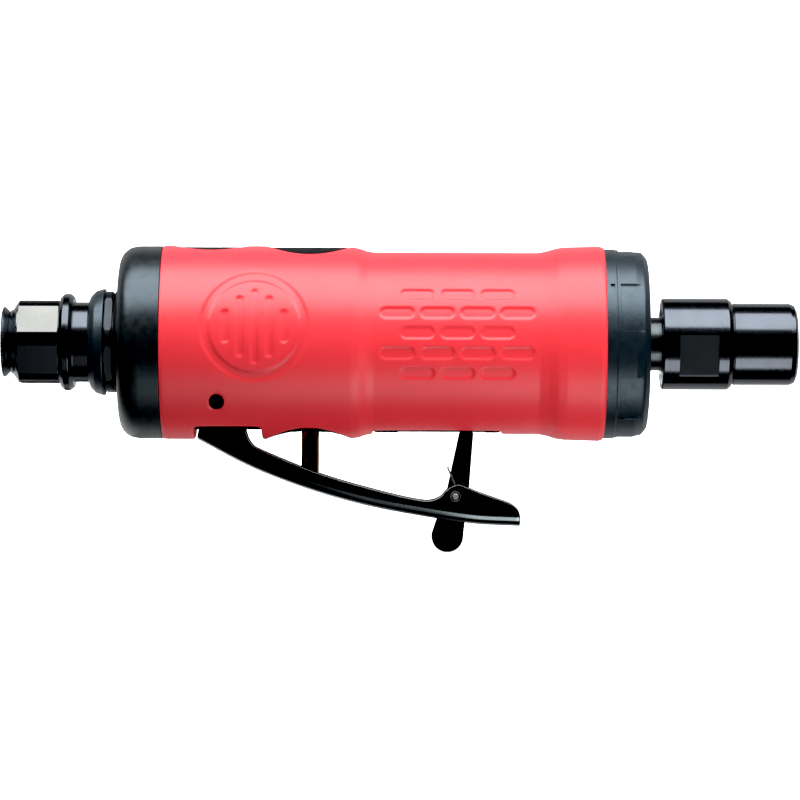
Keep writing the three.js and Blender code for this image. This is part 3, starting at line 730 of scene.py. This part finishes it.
class Window:
    """An opening through the sleeve: a superellipse seen along Z, and narrower on its +Y side."""

    def __init__(self, x0, x1, half, top, power=2.0, narrower=0.0):
        self.centre = (x0 + x1) / 2
        self.reach = ((x1 - x0) / 2, half)
        self.narrower = narrower
        self.top, self.power = top, power

    def half_width(self, y):
        return np.where(y > 0, self.reach[1] - self.narrower, self.reach[1])

    def size(self, x, y):
        a, b = self.reach[0], self.half_width(y)
        along, across = np.abs((x - self.centre) / a), np.abs(y / b)
        return (along ** self.power + across ** self.power) ** (1 / self.power)

    def onto_rim(self, x, y, spread=0.0):
        """The point of the rim in the same direction from the middle, moved out by spread."""
        scale = max(self.size(x, y), 1e-6)
        dx, dy = (x - self.centre) / scale, y / scale
        grow = 1 + spread / max(hypot(dx, dy), 1e-6)
        return self.centre + dx * grow, dy * grow


WINDOWS = [
    Window(-79.4, -62.5, 8, True),
    Window(-98.7, -83.5, 6, True),
    Window(-79.4, -62.5, 9.1, False, narrower=1.4),
    Window(-94.4, -80.5, 9.8, False, 14),
    Window(-57.6, -31, 5, False, 14, narrower=0.7),
]
PIN_HOLE = 1.54
WAIST_R = 18.82
PIP_ROWS = [(31.2, 3), (18.5, 4), (5.7, 3), (-7.0, 4), (-19.8, 3)]
PIP_PITCH, PIP_LENGTH, PIP_WIDTH, PIP_DEPTH = 8.17, 7.2, 2.6, 0.3
PIP_MIDDLE = -40.35
BADGE = (-81.6, 3.05)
BADGE_BAND = (9.2, 11.15)
BADGE_DEPTH = 0.3
BADGE_BARS = [(-6.0, 4.2), (-3.0, 7.0), (0.0, 8.4), (3.0, 7.0), (6.0, 4.2)]
BAR_WIDTH = 1.7

SLEEVE_OUTLINE = fillet([
    (SLEEVE_X[0], 19.85), (-101.0, 20.0, 0.1), (-100.2, SLEEVE_R - 0.12, 0.4),
    (-82, 20.05, 4), (-62, 19.85, 2),
    (-60.6, 19.65, 1.2), (-58.8, 19.05, 1.2), (-57.4, WAIST_R, 1.0), (-23.5, WAIST_R, 2),
    (-21.6, 19.2, 2), (-19.8, 19.75, 2), (-18, 20, 1.5),
    (-11, 20.2, 0.6), (-10.2, 20.05, 0.35), (SLEEVE_X[1], 19.6),
], closed=False, steps=8, hold=0.05)


def sunk(distance, depth, wall=0.3):
    """How deep a recess is at a signed distance from its rim: full depth past a short rounded wall."""
    t = np.clip(-distance / wall, 0, 1)
    return depth * t * t * (3 - 2 * t)


def stadium(dx, dy, length, width):
    straight = (length - width) / 2
    return np.hypot(np.maximum(np.abs(dx) - straight, 0), dy) - width / 2


def recesses(x, angle, radius):
    """The grip's sunk pattern on the side where angle is counted up from the horizontal."""
    depth = np.zeros(x.shape)
    for row_angle, count in PIP_ROWS:
        for k in range(count):
            dx = x - PIP_MIDDLE - (k - (count - 1) / 2) * PIP_PITCH
            dy = (angle - radians(row_angle)) * radius
            depth = np.maximum(depth, sunk(stadium(dx, dy, PIP_LENGTH, PIP_WIDTH), PIP_DEPTH))
    dx, dy = x - BADGE[0], radius * np.sin(angle) - BADGE[1]
    away = np.hypot(dx, dy)
    depth = np.maximum(depth, sunk(np.maximum(away - BADGE_BAND[1], BADGE_BAND[0] - away), BADGE_DEPTH))
    for at, half in BADGE_BARS:
        bar = stadium(dy, dx - at, 2 * half - 1.4, BAR_WIDTH)
        depth = np.maximum(depth, sunk(bar, BADGE_DEPTH))
    return depth


def spaced(*stretches):
    """Numbers from one stop to the next, each stretch at its own step."""
    values = []
    for start, end, step in stretches:
        count = max(1, int(round((end - start) / step)))
        values += [start + (end - start) * k / count for k in range(count)]
    values.append(stretches[-1][1])
    return np.array(values)


def inner_angle(turn, outer):
    """Where a point of the skin lands on the bore, going straight up or down near the top and bottom."""
    pole = np.where(np.sin(turn) >= 0, pi / 2, 3 * pi / 2)
    off = turn - pole
    near, far = radians(31), radians(60)
    steep = np.arcsin(np.clip(outer / SLEEVE_BORE * np.sin(np.abs(off)), 0, 0.95))
    at_near = np.arcsin(np.clip(outer / SLEEVE_BORE * sin(near), 0, 0.95))
    eased = at_near + (np.abs(off) - near) / (far - near) * (far - at_near)
    inside = np.where(np.abs(off) < near, steep, np.where(np.abs(off) < far, eased, np.abs(off)))
    return pole + np.sign(off) * inside


def make_grip():
    start, end = SLEEVE_X
    xs = spaced(
        (start, -100, 0.12), (-100, -93.2, 0.6), (-93.2, -70, 0.31),
        (-70, -62.6, 0.5), (-62.6, -56.9, 0.3),
        (-56.9, -23.9, 0.27), (-23.9, -17.5, 0.35), (-17.5, -11.3, 0.8), (-11.3, end, 0.13),
    )
    degrees_round = spaced(
        (-27, 45, 0.84), (45, 60, 2.5), (60, 120, 1.6), (120, 135, 2.5), (135, 207, 1.05),
        (207, 240, 2.5), (240, 300, 1.6), (300, 333, 2.5),
    )[:-1]
    turns = np.radians(degrees_round % 360)
    profile = np.array(SLEEVE_OUTLINE)
    skin = np.interp(xs, profile[:, 0], profile[:, 1])
    xg, tg = np.meshgrid(xs, turns, indexing="ij")
    rg = np.repeat(skin[:, None], len(turns), 1)
    signed = (tg + pi) % (2 * pi) - pi
    far_side = np.abs(signed) > pi / 2
    climb = np.where(far_side, np.where(signed > 0, pi - signed, -pi - signed), signed)
    radius = rg - recesses(xg, climb, rg)
    yg, zg = -radius * np.cos(tg), radius * np.sin(tg)

    rows, columns = xg.shape
    index = np.arange(rows * columns).reshape(rows, columns)
    outer = np.stack([xg, yg, zg], -1).reshape(-1, 3)
    lower = inner_angle(tg, rg)
    inner = np.stack([xg, -SLEEVE_BORE * np.cos(lower), SLEEVE_BORE * np.sin(lower)], -1).reshape(-1, 3)

    middle_x = (xg[:-1] + xg[1:]) / 2
    y_mid = (yg[:-1] + yg[1:]) / 2
    y_mid = (y_mid + np.roll(y_mid, -1, 1)) / 2
    z_mid = (zg[:-1] + np.roll(zg[:-1], -1, 1)) / 2
    cell = np.full(y_mid.shape, -1)
    for k, window in enumerate(WINDOWS):
        held = (window.size(middle_x, y_mid) < 1) & ((z_mid > 0) == window.top) & (np.abs(z_mid) > 12)
        cell[held] = k
    pin_x, pin_z = PIVOT
    pin_cell = (np.hypot(middle_x - pin_x, z_mid - pin_z) < PIN_HOLE) & (np.abs(y_mid) > 9)
    cell[pin_cell & (y_mid < 0)] = len(WINDOWS)
    cell[pin_cell & (y_mid > 0)] = len(WINDOWS) + 1

    corners = np.stack([
        index[:-1], index[1:], np.roll(index, -1, 1)[1:], np.roll(index, -1, 1)[:-1],
    ], -1)
    kept = corners[cell < 0]
    owner = {}
    edge_use = {}
    for quad in corners[cell >= 0].tolist():
        for a, b in zip(quad, quad[1:] + quad[:1]):
            edge_use[(a, b)] = True
    holes = cell.copy()
    for (i, j), k in np.ndenumerate(holes):
        if k >= 0:
            for v in corners[i, j]:
                owner[int(v)] = int(k)
    walls = [(a, b) for (a, b) in edge_use if (b, a) not in edge_use]

    vertices = [outer, inner]
    total = rows * columns
    faces = kept.tolist() + (kept[:, ::-1] + total).tolist()
    for ring in (0, rows - 1):
        for j in range(columns):
            a, b = index[ring, j], index[ring, (j + 1) % columns]
            faces.append((a, b, b + total, a + total))

    rim = sorted({v for edge in walls for v in edge})
    place = {v: n for n, v in enumerate(rim)}
    lips = [(0.40, 0.0), (0.20, 0.06), (0.05, 0.22), (0.0, 0.5)]
    rings = np.zeros((len(lips), len(rim), 3))
    for n, v in enumerate(rim):
        x, y, z = outer[v]
        k = owner[v]
        skin_r = hypot(y, z)
        for m, (spread, drop) in enumerate(lips):
            if k < len(WINDOWS):
                wx, wy = WINDOWS[k].onto_rim(x, y, spread)
                wz = sqrt(max((skin_r - drop) ** 2 - wy * wy, 0)) * (1 if z > 0 else -1)
            else:
                reach = hypot(x - pin_x, z - pin_z)
                size = PIN_HOLE + spread * 0.25
                wx, wz = pin_x + (x - pin_x) / reach * size, pin_z + (z - pin_z) / reach * size
                wy = sqrt((skin_r - drop) ** 2 - wz * wz) * (1 if y > 0 else -1)
            rings[m, n] = (wx, wy, wz)
        wx, wy, wz = rings[-1, n]
        if k < len(WINDOWS):
            inner[v] = (wx, wy, sqrt(max(SLEEVE_BORE ** 2 - wy * wy, 0)) * (1 if wz > 0 else -1))
        outer[v] = rings[0, n]
    base = 2 * total
    for m in range(1, len(lips)):
        vertices.append(rings[m])

    def at(level, v):
        if level == 0:
            return v
        if level == len(lips):
            return v + total
        return base + (level - 1) * len(rim) + place[v]

    for a, b in walls:
        for level in range(len(lips)):
            faces.append((at(level, a), at(level, b), at(level + 1, b), at(level + 1, a)))

    grip = finish_mesh("grip_sleeve", np.vstack(vertices), faces, sharp_angle=180)
    tidy_grip(grip)
    settle(grip, "grip_sleeve")
    # Painted shade: the walls round the pivot hole and the far inner walls of the lower openings take the
    # black rubber so they read as shadow.
    second_finish(grip, MATERIALS["black_rubber"], lambda at, facing: (
        hypot(at.x - pin_x, at.z - pin_z) < 2.6 and 17.02 < hypot(at.y, at.z) < 19.85
        or at.z < -12 and at.y > 3 and facing.y < 0 and 17.02 < hypot(at.y, at.z)
    ))


def tidy_grip(grip):
    """Drop the points inside the openings, thin out the hidden bore and face everything outward."""
    shape = bmesh.new()
    shape.from_mesh(grip.data)
    bmesh.ops.delete(shape, geom=[v for v in shape.verts if not v.link_faces], context="VERTS")
    bore = (SLEEVE_BORE + 0.02) * MM
    hidden = [f for f in shape.faces if all(hypot(v.co.y, v.co.z) < bore for v in f.verts)]
    hidden_set = set(hidden)
    edges = [e for e in shape.edges if e.link_faces and all(f in hidden_set for f in e.link_faces)]
    bmesh.ops.dissolve_limit(shape, angle_limit=radians(3), edges=edges, verts=[])
    bmesh.ops.recalc_face_normals(shape, faces=shape.faces)
    shape.to_mesh(grip.data)
    shape.free()
    grip.data.polygons.foreach_set("use_smooth", [True] * len(grip.data.polygons))
    grip.data.set_sharp_from_angle(angle=radians(70))


# ---------------------------------------------------------------- motor housing

def pad(name, window, inset, radius, depth):
    """A raised pad of the housing: the window's shape, domed to a radius given for each x."""
    top = window.top
    a = window.reach[0] - inset
    count, vertices, faces = 96, [], []
    levels = [(0.0, 0), (0.35, 0), (0.7, 0), (0.93, 0), (0.975, 0.05), (1.0, 0.3)]
    power = 2 / window.power
    for share, drop in levels:
        for k in range(count):
            phi = 2 * pi * k / count
            c, s = cos(phi), sin(phi)
            x = window.centre + a * share * abs(c) ** power * (1 if c > 0 else -1)
            y = (float(window.half_width(s)) - inset) * share * abs(s) ** power * (1 if s > 0 else -1)
            z = sqrt((radius(x) - drop) ** 2 - y * y)
            vertices.append((x, y, z if top else -z))
    base = len(vertices)
    for k in range(count):
        x, y, _ = vertices[base - count + k]
        vertices.append((x, y, depth if top else -depth))
    rows = len(levels)
    for i in range(rows):
        for k in range(count):
            m = (k + 1) % count
            faces.append((i * count + k, i * count + m, (i + 1) * count + m, (i + 1) * count + k))
    faces.append([base + k for k in range(count)])
    piece = finish_mesh(name, vertices, faces)
    close_poles(piece)
    return outward(piece)


TOP_PAD_R, LOCK_PAD_R = 19.8, 18.55
PAD_INSET = 0.1       # the lower pads stand this far inside their windows
PAD_SHOWS = 0.3       # how much of the stem's pad shows past the rim of its window


def stem_pad_radius(x):
    """Just past the sleeve's wavy rim, so that the pad shows as a thin dark line under it: a dark strip
    standing in for the shade under the rim.
    """
    window = WINDOWS[2]
    along = min(1, abs(x - window.centre) / window.reach[0])
    rim = sqrt(SLEEVE_R ** 2 - window.reach[1] ** 2 * (1 - along * along))
    return min(LOCK_PAD_R, rim + PAD_SHOWS)


def make_housing():
    x0, x1 = HOUSING_X
    barrel = revolve("motor_housing", fillet([
        (x0, 8.3), (x0, HOUSING_R - 1), (x0 + 1, HOUSING_R, 0.5), (x1, HOUSING_R), (x1, 13.1),
        (-63.4, 13.1), (-63.4, 8.3),
    ]), angles_with(96))
    outward(barrel)
    top_pads = [pad(f"pad_{k}", WINDOWS[k], GAP, lambda x: TOP_PAD_R, 15) for k in (0, 1)]
    stem_pad = pad("stem_pad", WINDOWS[2], PAD_INSET, stem_pad_radius, 15)
    lever_pad = box("lever_pad", (-94.1, -80.8), (-9.5, 9.5), (-18, -14))
    lock_pad = pad("lock_pad", WINDOWS[4], PAD_INSET, lambda x: LOCK_PAD_R, 14.7)
    boolean(barrel, *top_pads, stem_pad, lever_pad, lock_pad, operation="UNION")
    well = revolve("well", [
        (-25, 0), (-25, 2.4), (-17.2, 2.4), (-17.2, 5), (10, 5), (10, 0),
    ], angles_with(64), closed=False)
    swing(well, "z", (VALVE_X, 0))
    pivot = revolve("pivot", [(-18, 0), (-18, 1.8), (18, 1.8), (18, 0)], angles_with(48), closed=False)
    swing(pivot, "y", PIVOT)
    boolean(
        barrel,
        outward(well),
        box("lever_slot", (-94.3, -81.5), (-5.9, 5.9), (-25, -8.5)),
        box("lock_slot", (-52.4, -34.3), (-2.2, 2.2), (-25, -14.6)),
        outward(pivot),
    )
    even_shading(barrel, 35)
    settle(barrel, "motor_housing", material=HOUSING_BLACK)
    # Painted shade: the housing's faces below the axis take the darker, glossless copy.
    second_finish(barrel, HOUSING_PAINTED_SHADE, lambda at, facing: at.z < 0)


# ---------------------------------------------------------------- throttle valve and lever

SHEET = 1.5
UNDERSIDE = [
    (-97.5, -18.1), (-93.4, -20.3), (-82.5, -25.9), (-70.6, -30.4), (-58.6, -33.7), (-46.2, -36.0),
    (-36.5, -37.35), (-27.1, -37.8),
]


def make_valve():
    low, high = STEM_Z
    stem = revolve("valve_stem", fillet([
        (low, 0), (low, 0.6, 0.3), (low + 0.5, 1.5, 0.5),
        (low + 1.1, 1.85, 0.4), (-7.4, 1.85, 0.2), (-6.3, 1.3),
        (-4.3, 1.3), (-4.3, 3.4), (-3.6, 4.1), (-2, 4.1), (-1.4, 1.9), (high, 1.9), (high, 0),
    ], closed=False), angles_with(96), closed=False)
    swing(stem, "z", (VALVE_X, 0))
    settle(outward(stem), "valve_stem", material=STEM_BRONZE)


def channel_solid(name, half, lift, round_radius):
    """A long solid that follows the lever's underside, lifted off it, with its two lower edges rounded."""
    path = smooth_curve(UNDERSIDE, 10)
    path.append((path[-1][0] + 4, path[-1][1]))
    section = [(-half, None)]
    steps = 8
    for k in range(steps + 1):
        a = pi / 2 * k / steps
        section.append((-half + round_radius * (1 - cos(a)), round_radius * (1 - sin(a))))
    section += [(-y, z) for y, z in reversed(section)]
    count = len(section)
    vertices = []
    for x, z in path:
        for y, up in section:
            vertices.append((x, y, 5.0 if up is None else z + lift + up))
    faces = [list(range(count)), [len(vertices) - count + k for k in range(count)]]
    for i in range(len(path) - 1):
        for k in range(count):
            a, b = i * count + k, i * count + (k + 1) % count
            faces.append((a, b, b + count, a + count))
    return outward(finish_mesh(name, vertices, faces))


def arc(centre, radius, start, end, count):
    return [
        (centre[0] + radius * cos(radians(a)), centre[1] + radius * sin(radians(a)))
        for a in np.linspace(start, end, count)
    ]


def make_lever():
    tip = LEVER_X[1]
    side = [(-93.9, -19.6), (-93.9, -60), (tip, -60)]
    side += [(tip, -35.9)] + smooth_curve([
        (tip - 0.03, -35.6), (-27.35, -34.8), (-27.9, -33.9),
        (-29.1, -33.1), (-31.2, -32.3), (-35.3, -30.9),
        (-37.8, -29.9), (-40.1, -29.2), (-42.2, -30.3), (-43.7, -31.8), (-45.75, -32.5), (-47.8, -32.4),
        (-52, -31.6), (-58, -30.1), (-64.5, -28.3), (-71, -26.15), (-77, -23.75), (-80.2, -22.4),
    ], 5)
    side += smooth_curve([
        (-81.2, -21.95), (-82.3, -21.35), (-83.3, -20.0), (-83.95, -18.2), (-84.6, -16),
    ], 4)
    side += arc(PIVOT, 3.1, -5, 200, 22)
    body = prism("throttle_lever", side, -8, 8)
    boolean(body, channel_solid("skin", LEVER_HALF, 0, 2.6), operation="INTERSECT")
    boolean(
        body,
        channel_solid("hollow", LEVER_HALF - SHEET, SHEET, 1.2),
        box("fork", (-44.4, -20), (-2.2, 2.2), (-45, -33)),
    )
    for name, centre, radius in (("pivot", PIVOT, 1.8), ("lock_pivot", LOCK_PIVOT, 1.05)):
        drill = revolve(name, [(-8, 0), (-8, radius), (8, radius), (8, 0)], angles_with(48), closed=False)
        boolean(body, outward(swing(drill, "y", centre)))
    bevel(body, 0.2, 2, 50, clamp=False)
    even_shading(body, 60)
    settle(body, "throttle_lever", material=LEVER_STEEL)

    low, high = span("lever_pivot_pin", Y)
    pin = revolve("lever_pivot_pin", fillet([
        (low, 0), (low, 1.5, 0.3), (high, 1.5, 0.3), (high, 0),
    ], closed=False), angles_with(48), closed=False)
    swing(pin, "y", PIVOT)
    settle(outward(pin), "lever_pivot_pin", material=SHADED_STEEL)


def make_lock():
    tab = (-42.1, -40)
    side = [(-36.95, -18.35), (-39.5, -18.35), (-39.75, -18.6), (-42.1, -29.7)]
    side += smooth_curve([(-42.85, -32.6), (-43.6, -34.7), (-44.5, -36.8)], 6)
    side += arc(tab, 3.3, 158, 349, 36)
    side += [(-38.46, -36.8), (-37.6, -29.9), (-36.75, -18.6)]
    half = span("lock_lever", Y)[1]
    plate = prism("lock_lever", side, -half, half)
    drill = revolve("drill", [(-4, 0), (-4, 1.05), (4, 1.05), (4, 0)], angles_with(48), closed=False)
    boolean(plate, outward(swing(drill, "y", LOCK_PIVOT)))
    bevel(plate, 0.35, 3, 30)
    even_shading(plate, 60)
    settle(plate, "lock_lever")

    end = span("lock_pivot_pin", Y)[1]
    rivet = revolve("lock_pivot_pin", fillet([
        (-end, 0), (-end, 0.5, 0.05), (-end + 0.12, 0.66, 0.05),
        (-end + 0.1, 0.9), (-end + 0.05, 1.0, 0.05),
        (-5.8, 1.05), (-5.8, 0.75), (5.8, 0.75), (5.8, 1.05), (end - 0.05, 1.0, 0.05), (end - 0.1, 0.9),
        (end - 0.12, 0.66, 0.05), (end, 0.5, 0.05), (end, 0),
    ], closed=False, steps=3, hold=0.02), angles_with(48), closed=False)
    swing(rivet, "y", LOCK_PIVOT)
    settle(outward(rivet), "lock_pivot_pin", material=WORN_RIVET)
    second_finish(rivet, SHADED_STEEL, lambda at, facing: (
        0.62 < hypot(at.x - LOCK_PIVOT[0], at.z - LOCK_PIVOT[1]) < 0.93
    ))


def tube(name, path, radius, sides=16):
    """A round wire along a path of (x, y, z), its ends closed."""
    path = [Vector(point) for point in path]
    side = (path[1] - path[0]).orthogonal().normalized()
    vertices, faces = [], []
    for i, point in enumerate(path):
        along = (path[min(i + 1, len(path) - 1)] - path[max(i - 1, 0)]).normalized()
        side = (side - along * side.dot(along)).normalized()
        across = along.cross(side)
        for k in range(sides):
            a = 2 * pi * k / sides
            vertices.append(point + (side * cos(a) + across * sin(a)) * radius)
    for i in range(len(path) - 1):
        for k in range(sides):
            a, b = i * sides + k, i * sides + (k + 1) % sides
            faces.append((a, b, b + sides, a + sides))
    faces += [list(range(sides)), [len(vertices) - sides + k for k in range(sides)]]
    return outward(finish_mesh(name, vertices, faces, 60))


def make_valve_spring():
    """The coil between the stem's flange and its seat, which closes up as the stem rises."""
    low, high = span("valve_spring", Z)
    wire, coil_r, turns = 0.4, 3.0, 5
    path = []
    for t in np.linspace(0, 1, 24 * turns + 1):
        rise = np.interp(t, (0, 0.12, 0.88, 1), (0, 0.02, 0.98, 1))
        a = 2 * pi * turns * t
        z = low + wire + (high - low - 2 * wire) * rise
        path.append((VALVE_X + coil_r * cos(a), coil_r * sin(a), z))
    spring = tube("valve_spring", path, wire, 12)
    settle(spring, "valve_spring")
    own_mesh(spring)


def make_lock_spring():
    px, pz = LOCK_PIVOT
    turns = [
        (px + 1.7 * cos(a), -3.6 + 1.5 * a / (4.5 * pi), pz + 1.7 * sin(a))
        for a in np.linspace(0, 4.5 * pi, 90)
    ]
    hook = [(-40.6, -2.3, -29.2), (-41.9, -2.3, -26.2), (-42, -1.2, -25.7), (-41.95, 0.4, -25.7)]
    legs = smooth_curve([turns[-1], *hook], 8)
    spring = tube("lock_spring", [(-37.7, -3.6, -33.2), *turns, *legs[1:]], 0.2)
    settle(spring, "lock_spring", material=WORN_RIVET)


# ---------------------------------------------------------------- studio

def emitter(name, kind, power, **settings):
    data = bpy.data.lights.new(name, kind)
    data.energy = power
    for key, value in settings.items():
        setattr(data, key, value)
    light = bpy.data.objects.new(name, data)
    bpy.context.scene.collection.objects.link(light)
    return light


def softbox(name, centre, size_x, size_y, power, target, color=(1, 1, 1)):
    """A rectangular light, in metres, aimed at a point."""
    light = emitter(name, "AREA", power, shape="RECTANGLE", size=size_x, size_y=size_y, color=color)
    aim = Vector(target) - Vector(centre)
    light.matrix_world = Matrix.Translation(centre) @ aim.to_track_quat("-Z", "Y").to_matrix().to_4x4()
    return light


def make_studio():
    scene = bpy.context.scene
    scene.view_settings.view_transform = "Standard"
    scene.view_settings.use_curve_mapping = True
    scene.view_settings.curve_mapping.black_level = (0.006, 0.006, 0.006)
    scene.view_settings.curve_mapping.update()
    floor_z = (LOWEST - 0.05) * MM
    n = Nodes("sweep")
    n.drive(Base_Color=n.mix(n.spread(n.noise(3, 2), 0, 1), (0.96, 0.96, 0.96), (0.94, 0.94, 0.94)))
    n.set(Roughness=0.9, Emission_Color=(1, 1, 1, 1), Emission_Strength=1.05)
    vertices, faces = [], []
    depth = [-3, -1, 0.5, 1.2]
    depth += [1.2 + 0.8 * sin(radians(a)) for a in range(15, 91, 15)] + [2.0]
    height = [0, 0, 0, 0] + [0.8 * (1 - cos(radians(a))) for a in range(15, 91, 15)] + [4.0]
    for y, z in zip(depth, height):
        for x in (-4, 4):
            vertices.append((x / MM, y / MM, z / MM + floor_z / MM))
    for i in range(len(depth) - 1):
        faces.append((2 * i, 2 * i + 1, 2 * i + 3, 2 * i + 2))
    sweep = finish_mesh("studio_sweep", vertices, faces, 80)
    sweep.data.materials.append(n.material)
    sweep.visible_glossy = False
    sweep.visible_diffuse = False
    sweep.visible_shadow = False

    world = bpy.data.worlds.new("studio")
    world.use_nodes = True
    world.node_tree.nodes["Background"].inputs["Color"].default_value = (0.8, 0.92, 1.0, 1)
    world.node_tree.nodes["Background"].inputs["Strength"].default_value = 0.012
    scene.world = world

    across = -0.052
    softbox("overhead", (across, -0.301, 0.6), 1.6, 0.728, 19.9, (across, -0.301, 0), (0.97, 0.985, 1.0))
    for x0, x1, power in ((0.02, 0.22, 0.735), (-0.09, 0.02, 0.24), (-0.19, -0.09, 0.02)):
        middle = (x0 + x1) / 2
        softbox("front_low", (middle, -0.327, -0.503), x1 - x0, 0.344, power, (middle, 0, 0))
    unmirrored = softbox("front_low_fill", (0.46, -0.327, -0.503), 0.48, 0.344, 1.77, (0.46, 0, 0))
    unmirrored.visible_glossy = False
    softbox("back_upper", (across, 1.0, 0.575), 5.0, 1.15, 10.8, (across, 0, 0.575))
    softbox("back_lower", (1.1, 1.0, -0.85), 2.57, 1.7, 8.2, (1.1, 0, -0.85))
    softbox("back_left", (-0.75, 1.0, -0.75), 1.0, 1.4, 4.6, (-0.75, 0, -0.75))
    softbox("backdrop", (across, 0.9, 1.2), 3.0, 1.6, 90, (across, 2.2, 0.5))
    side = emitter("side_fill", "SPOT", 7, spot_size=radians(20), spot_blend=1.0, shadow_soft_size=0.08)
    side.visible_glossy = False
    place, aim = Vector((0.25, -0.5, -0.2)), Vector((-0.01, 0, -0.012))
    turn = (aim - place).to_track_quat("-Z", "Y").to_matrix().to_4x4()
    side.matrix_world = Matrix.Translation(place) @ turn


# ---------------------------------------------------------------- build

make_inlet()
make_caps()
make_nose()
make_grip()
make_housing()
make_valve()
make_lever()
make_lock()
make_lock_spring()
make_valve_spring()

node_slots = {part["node"]: part["material_slot"] for part in frame["record"]["subparts"]}
for node, slot in node_slots.items():
    cad = frame["nodes"][node]
    for index in range(len(cad.material_slots)):
        cad.material_slots[index].material = MATERIALS[slot]

make_studio()
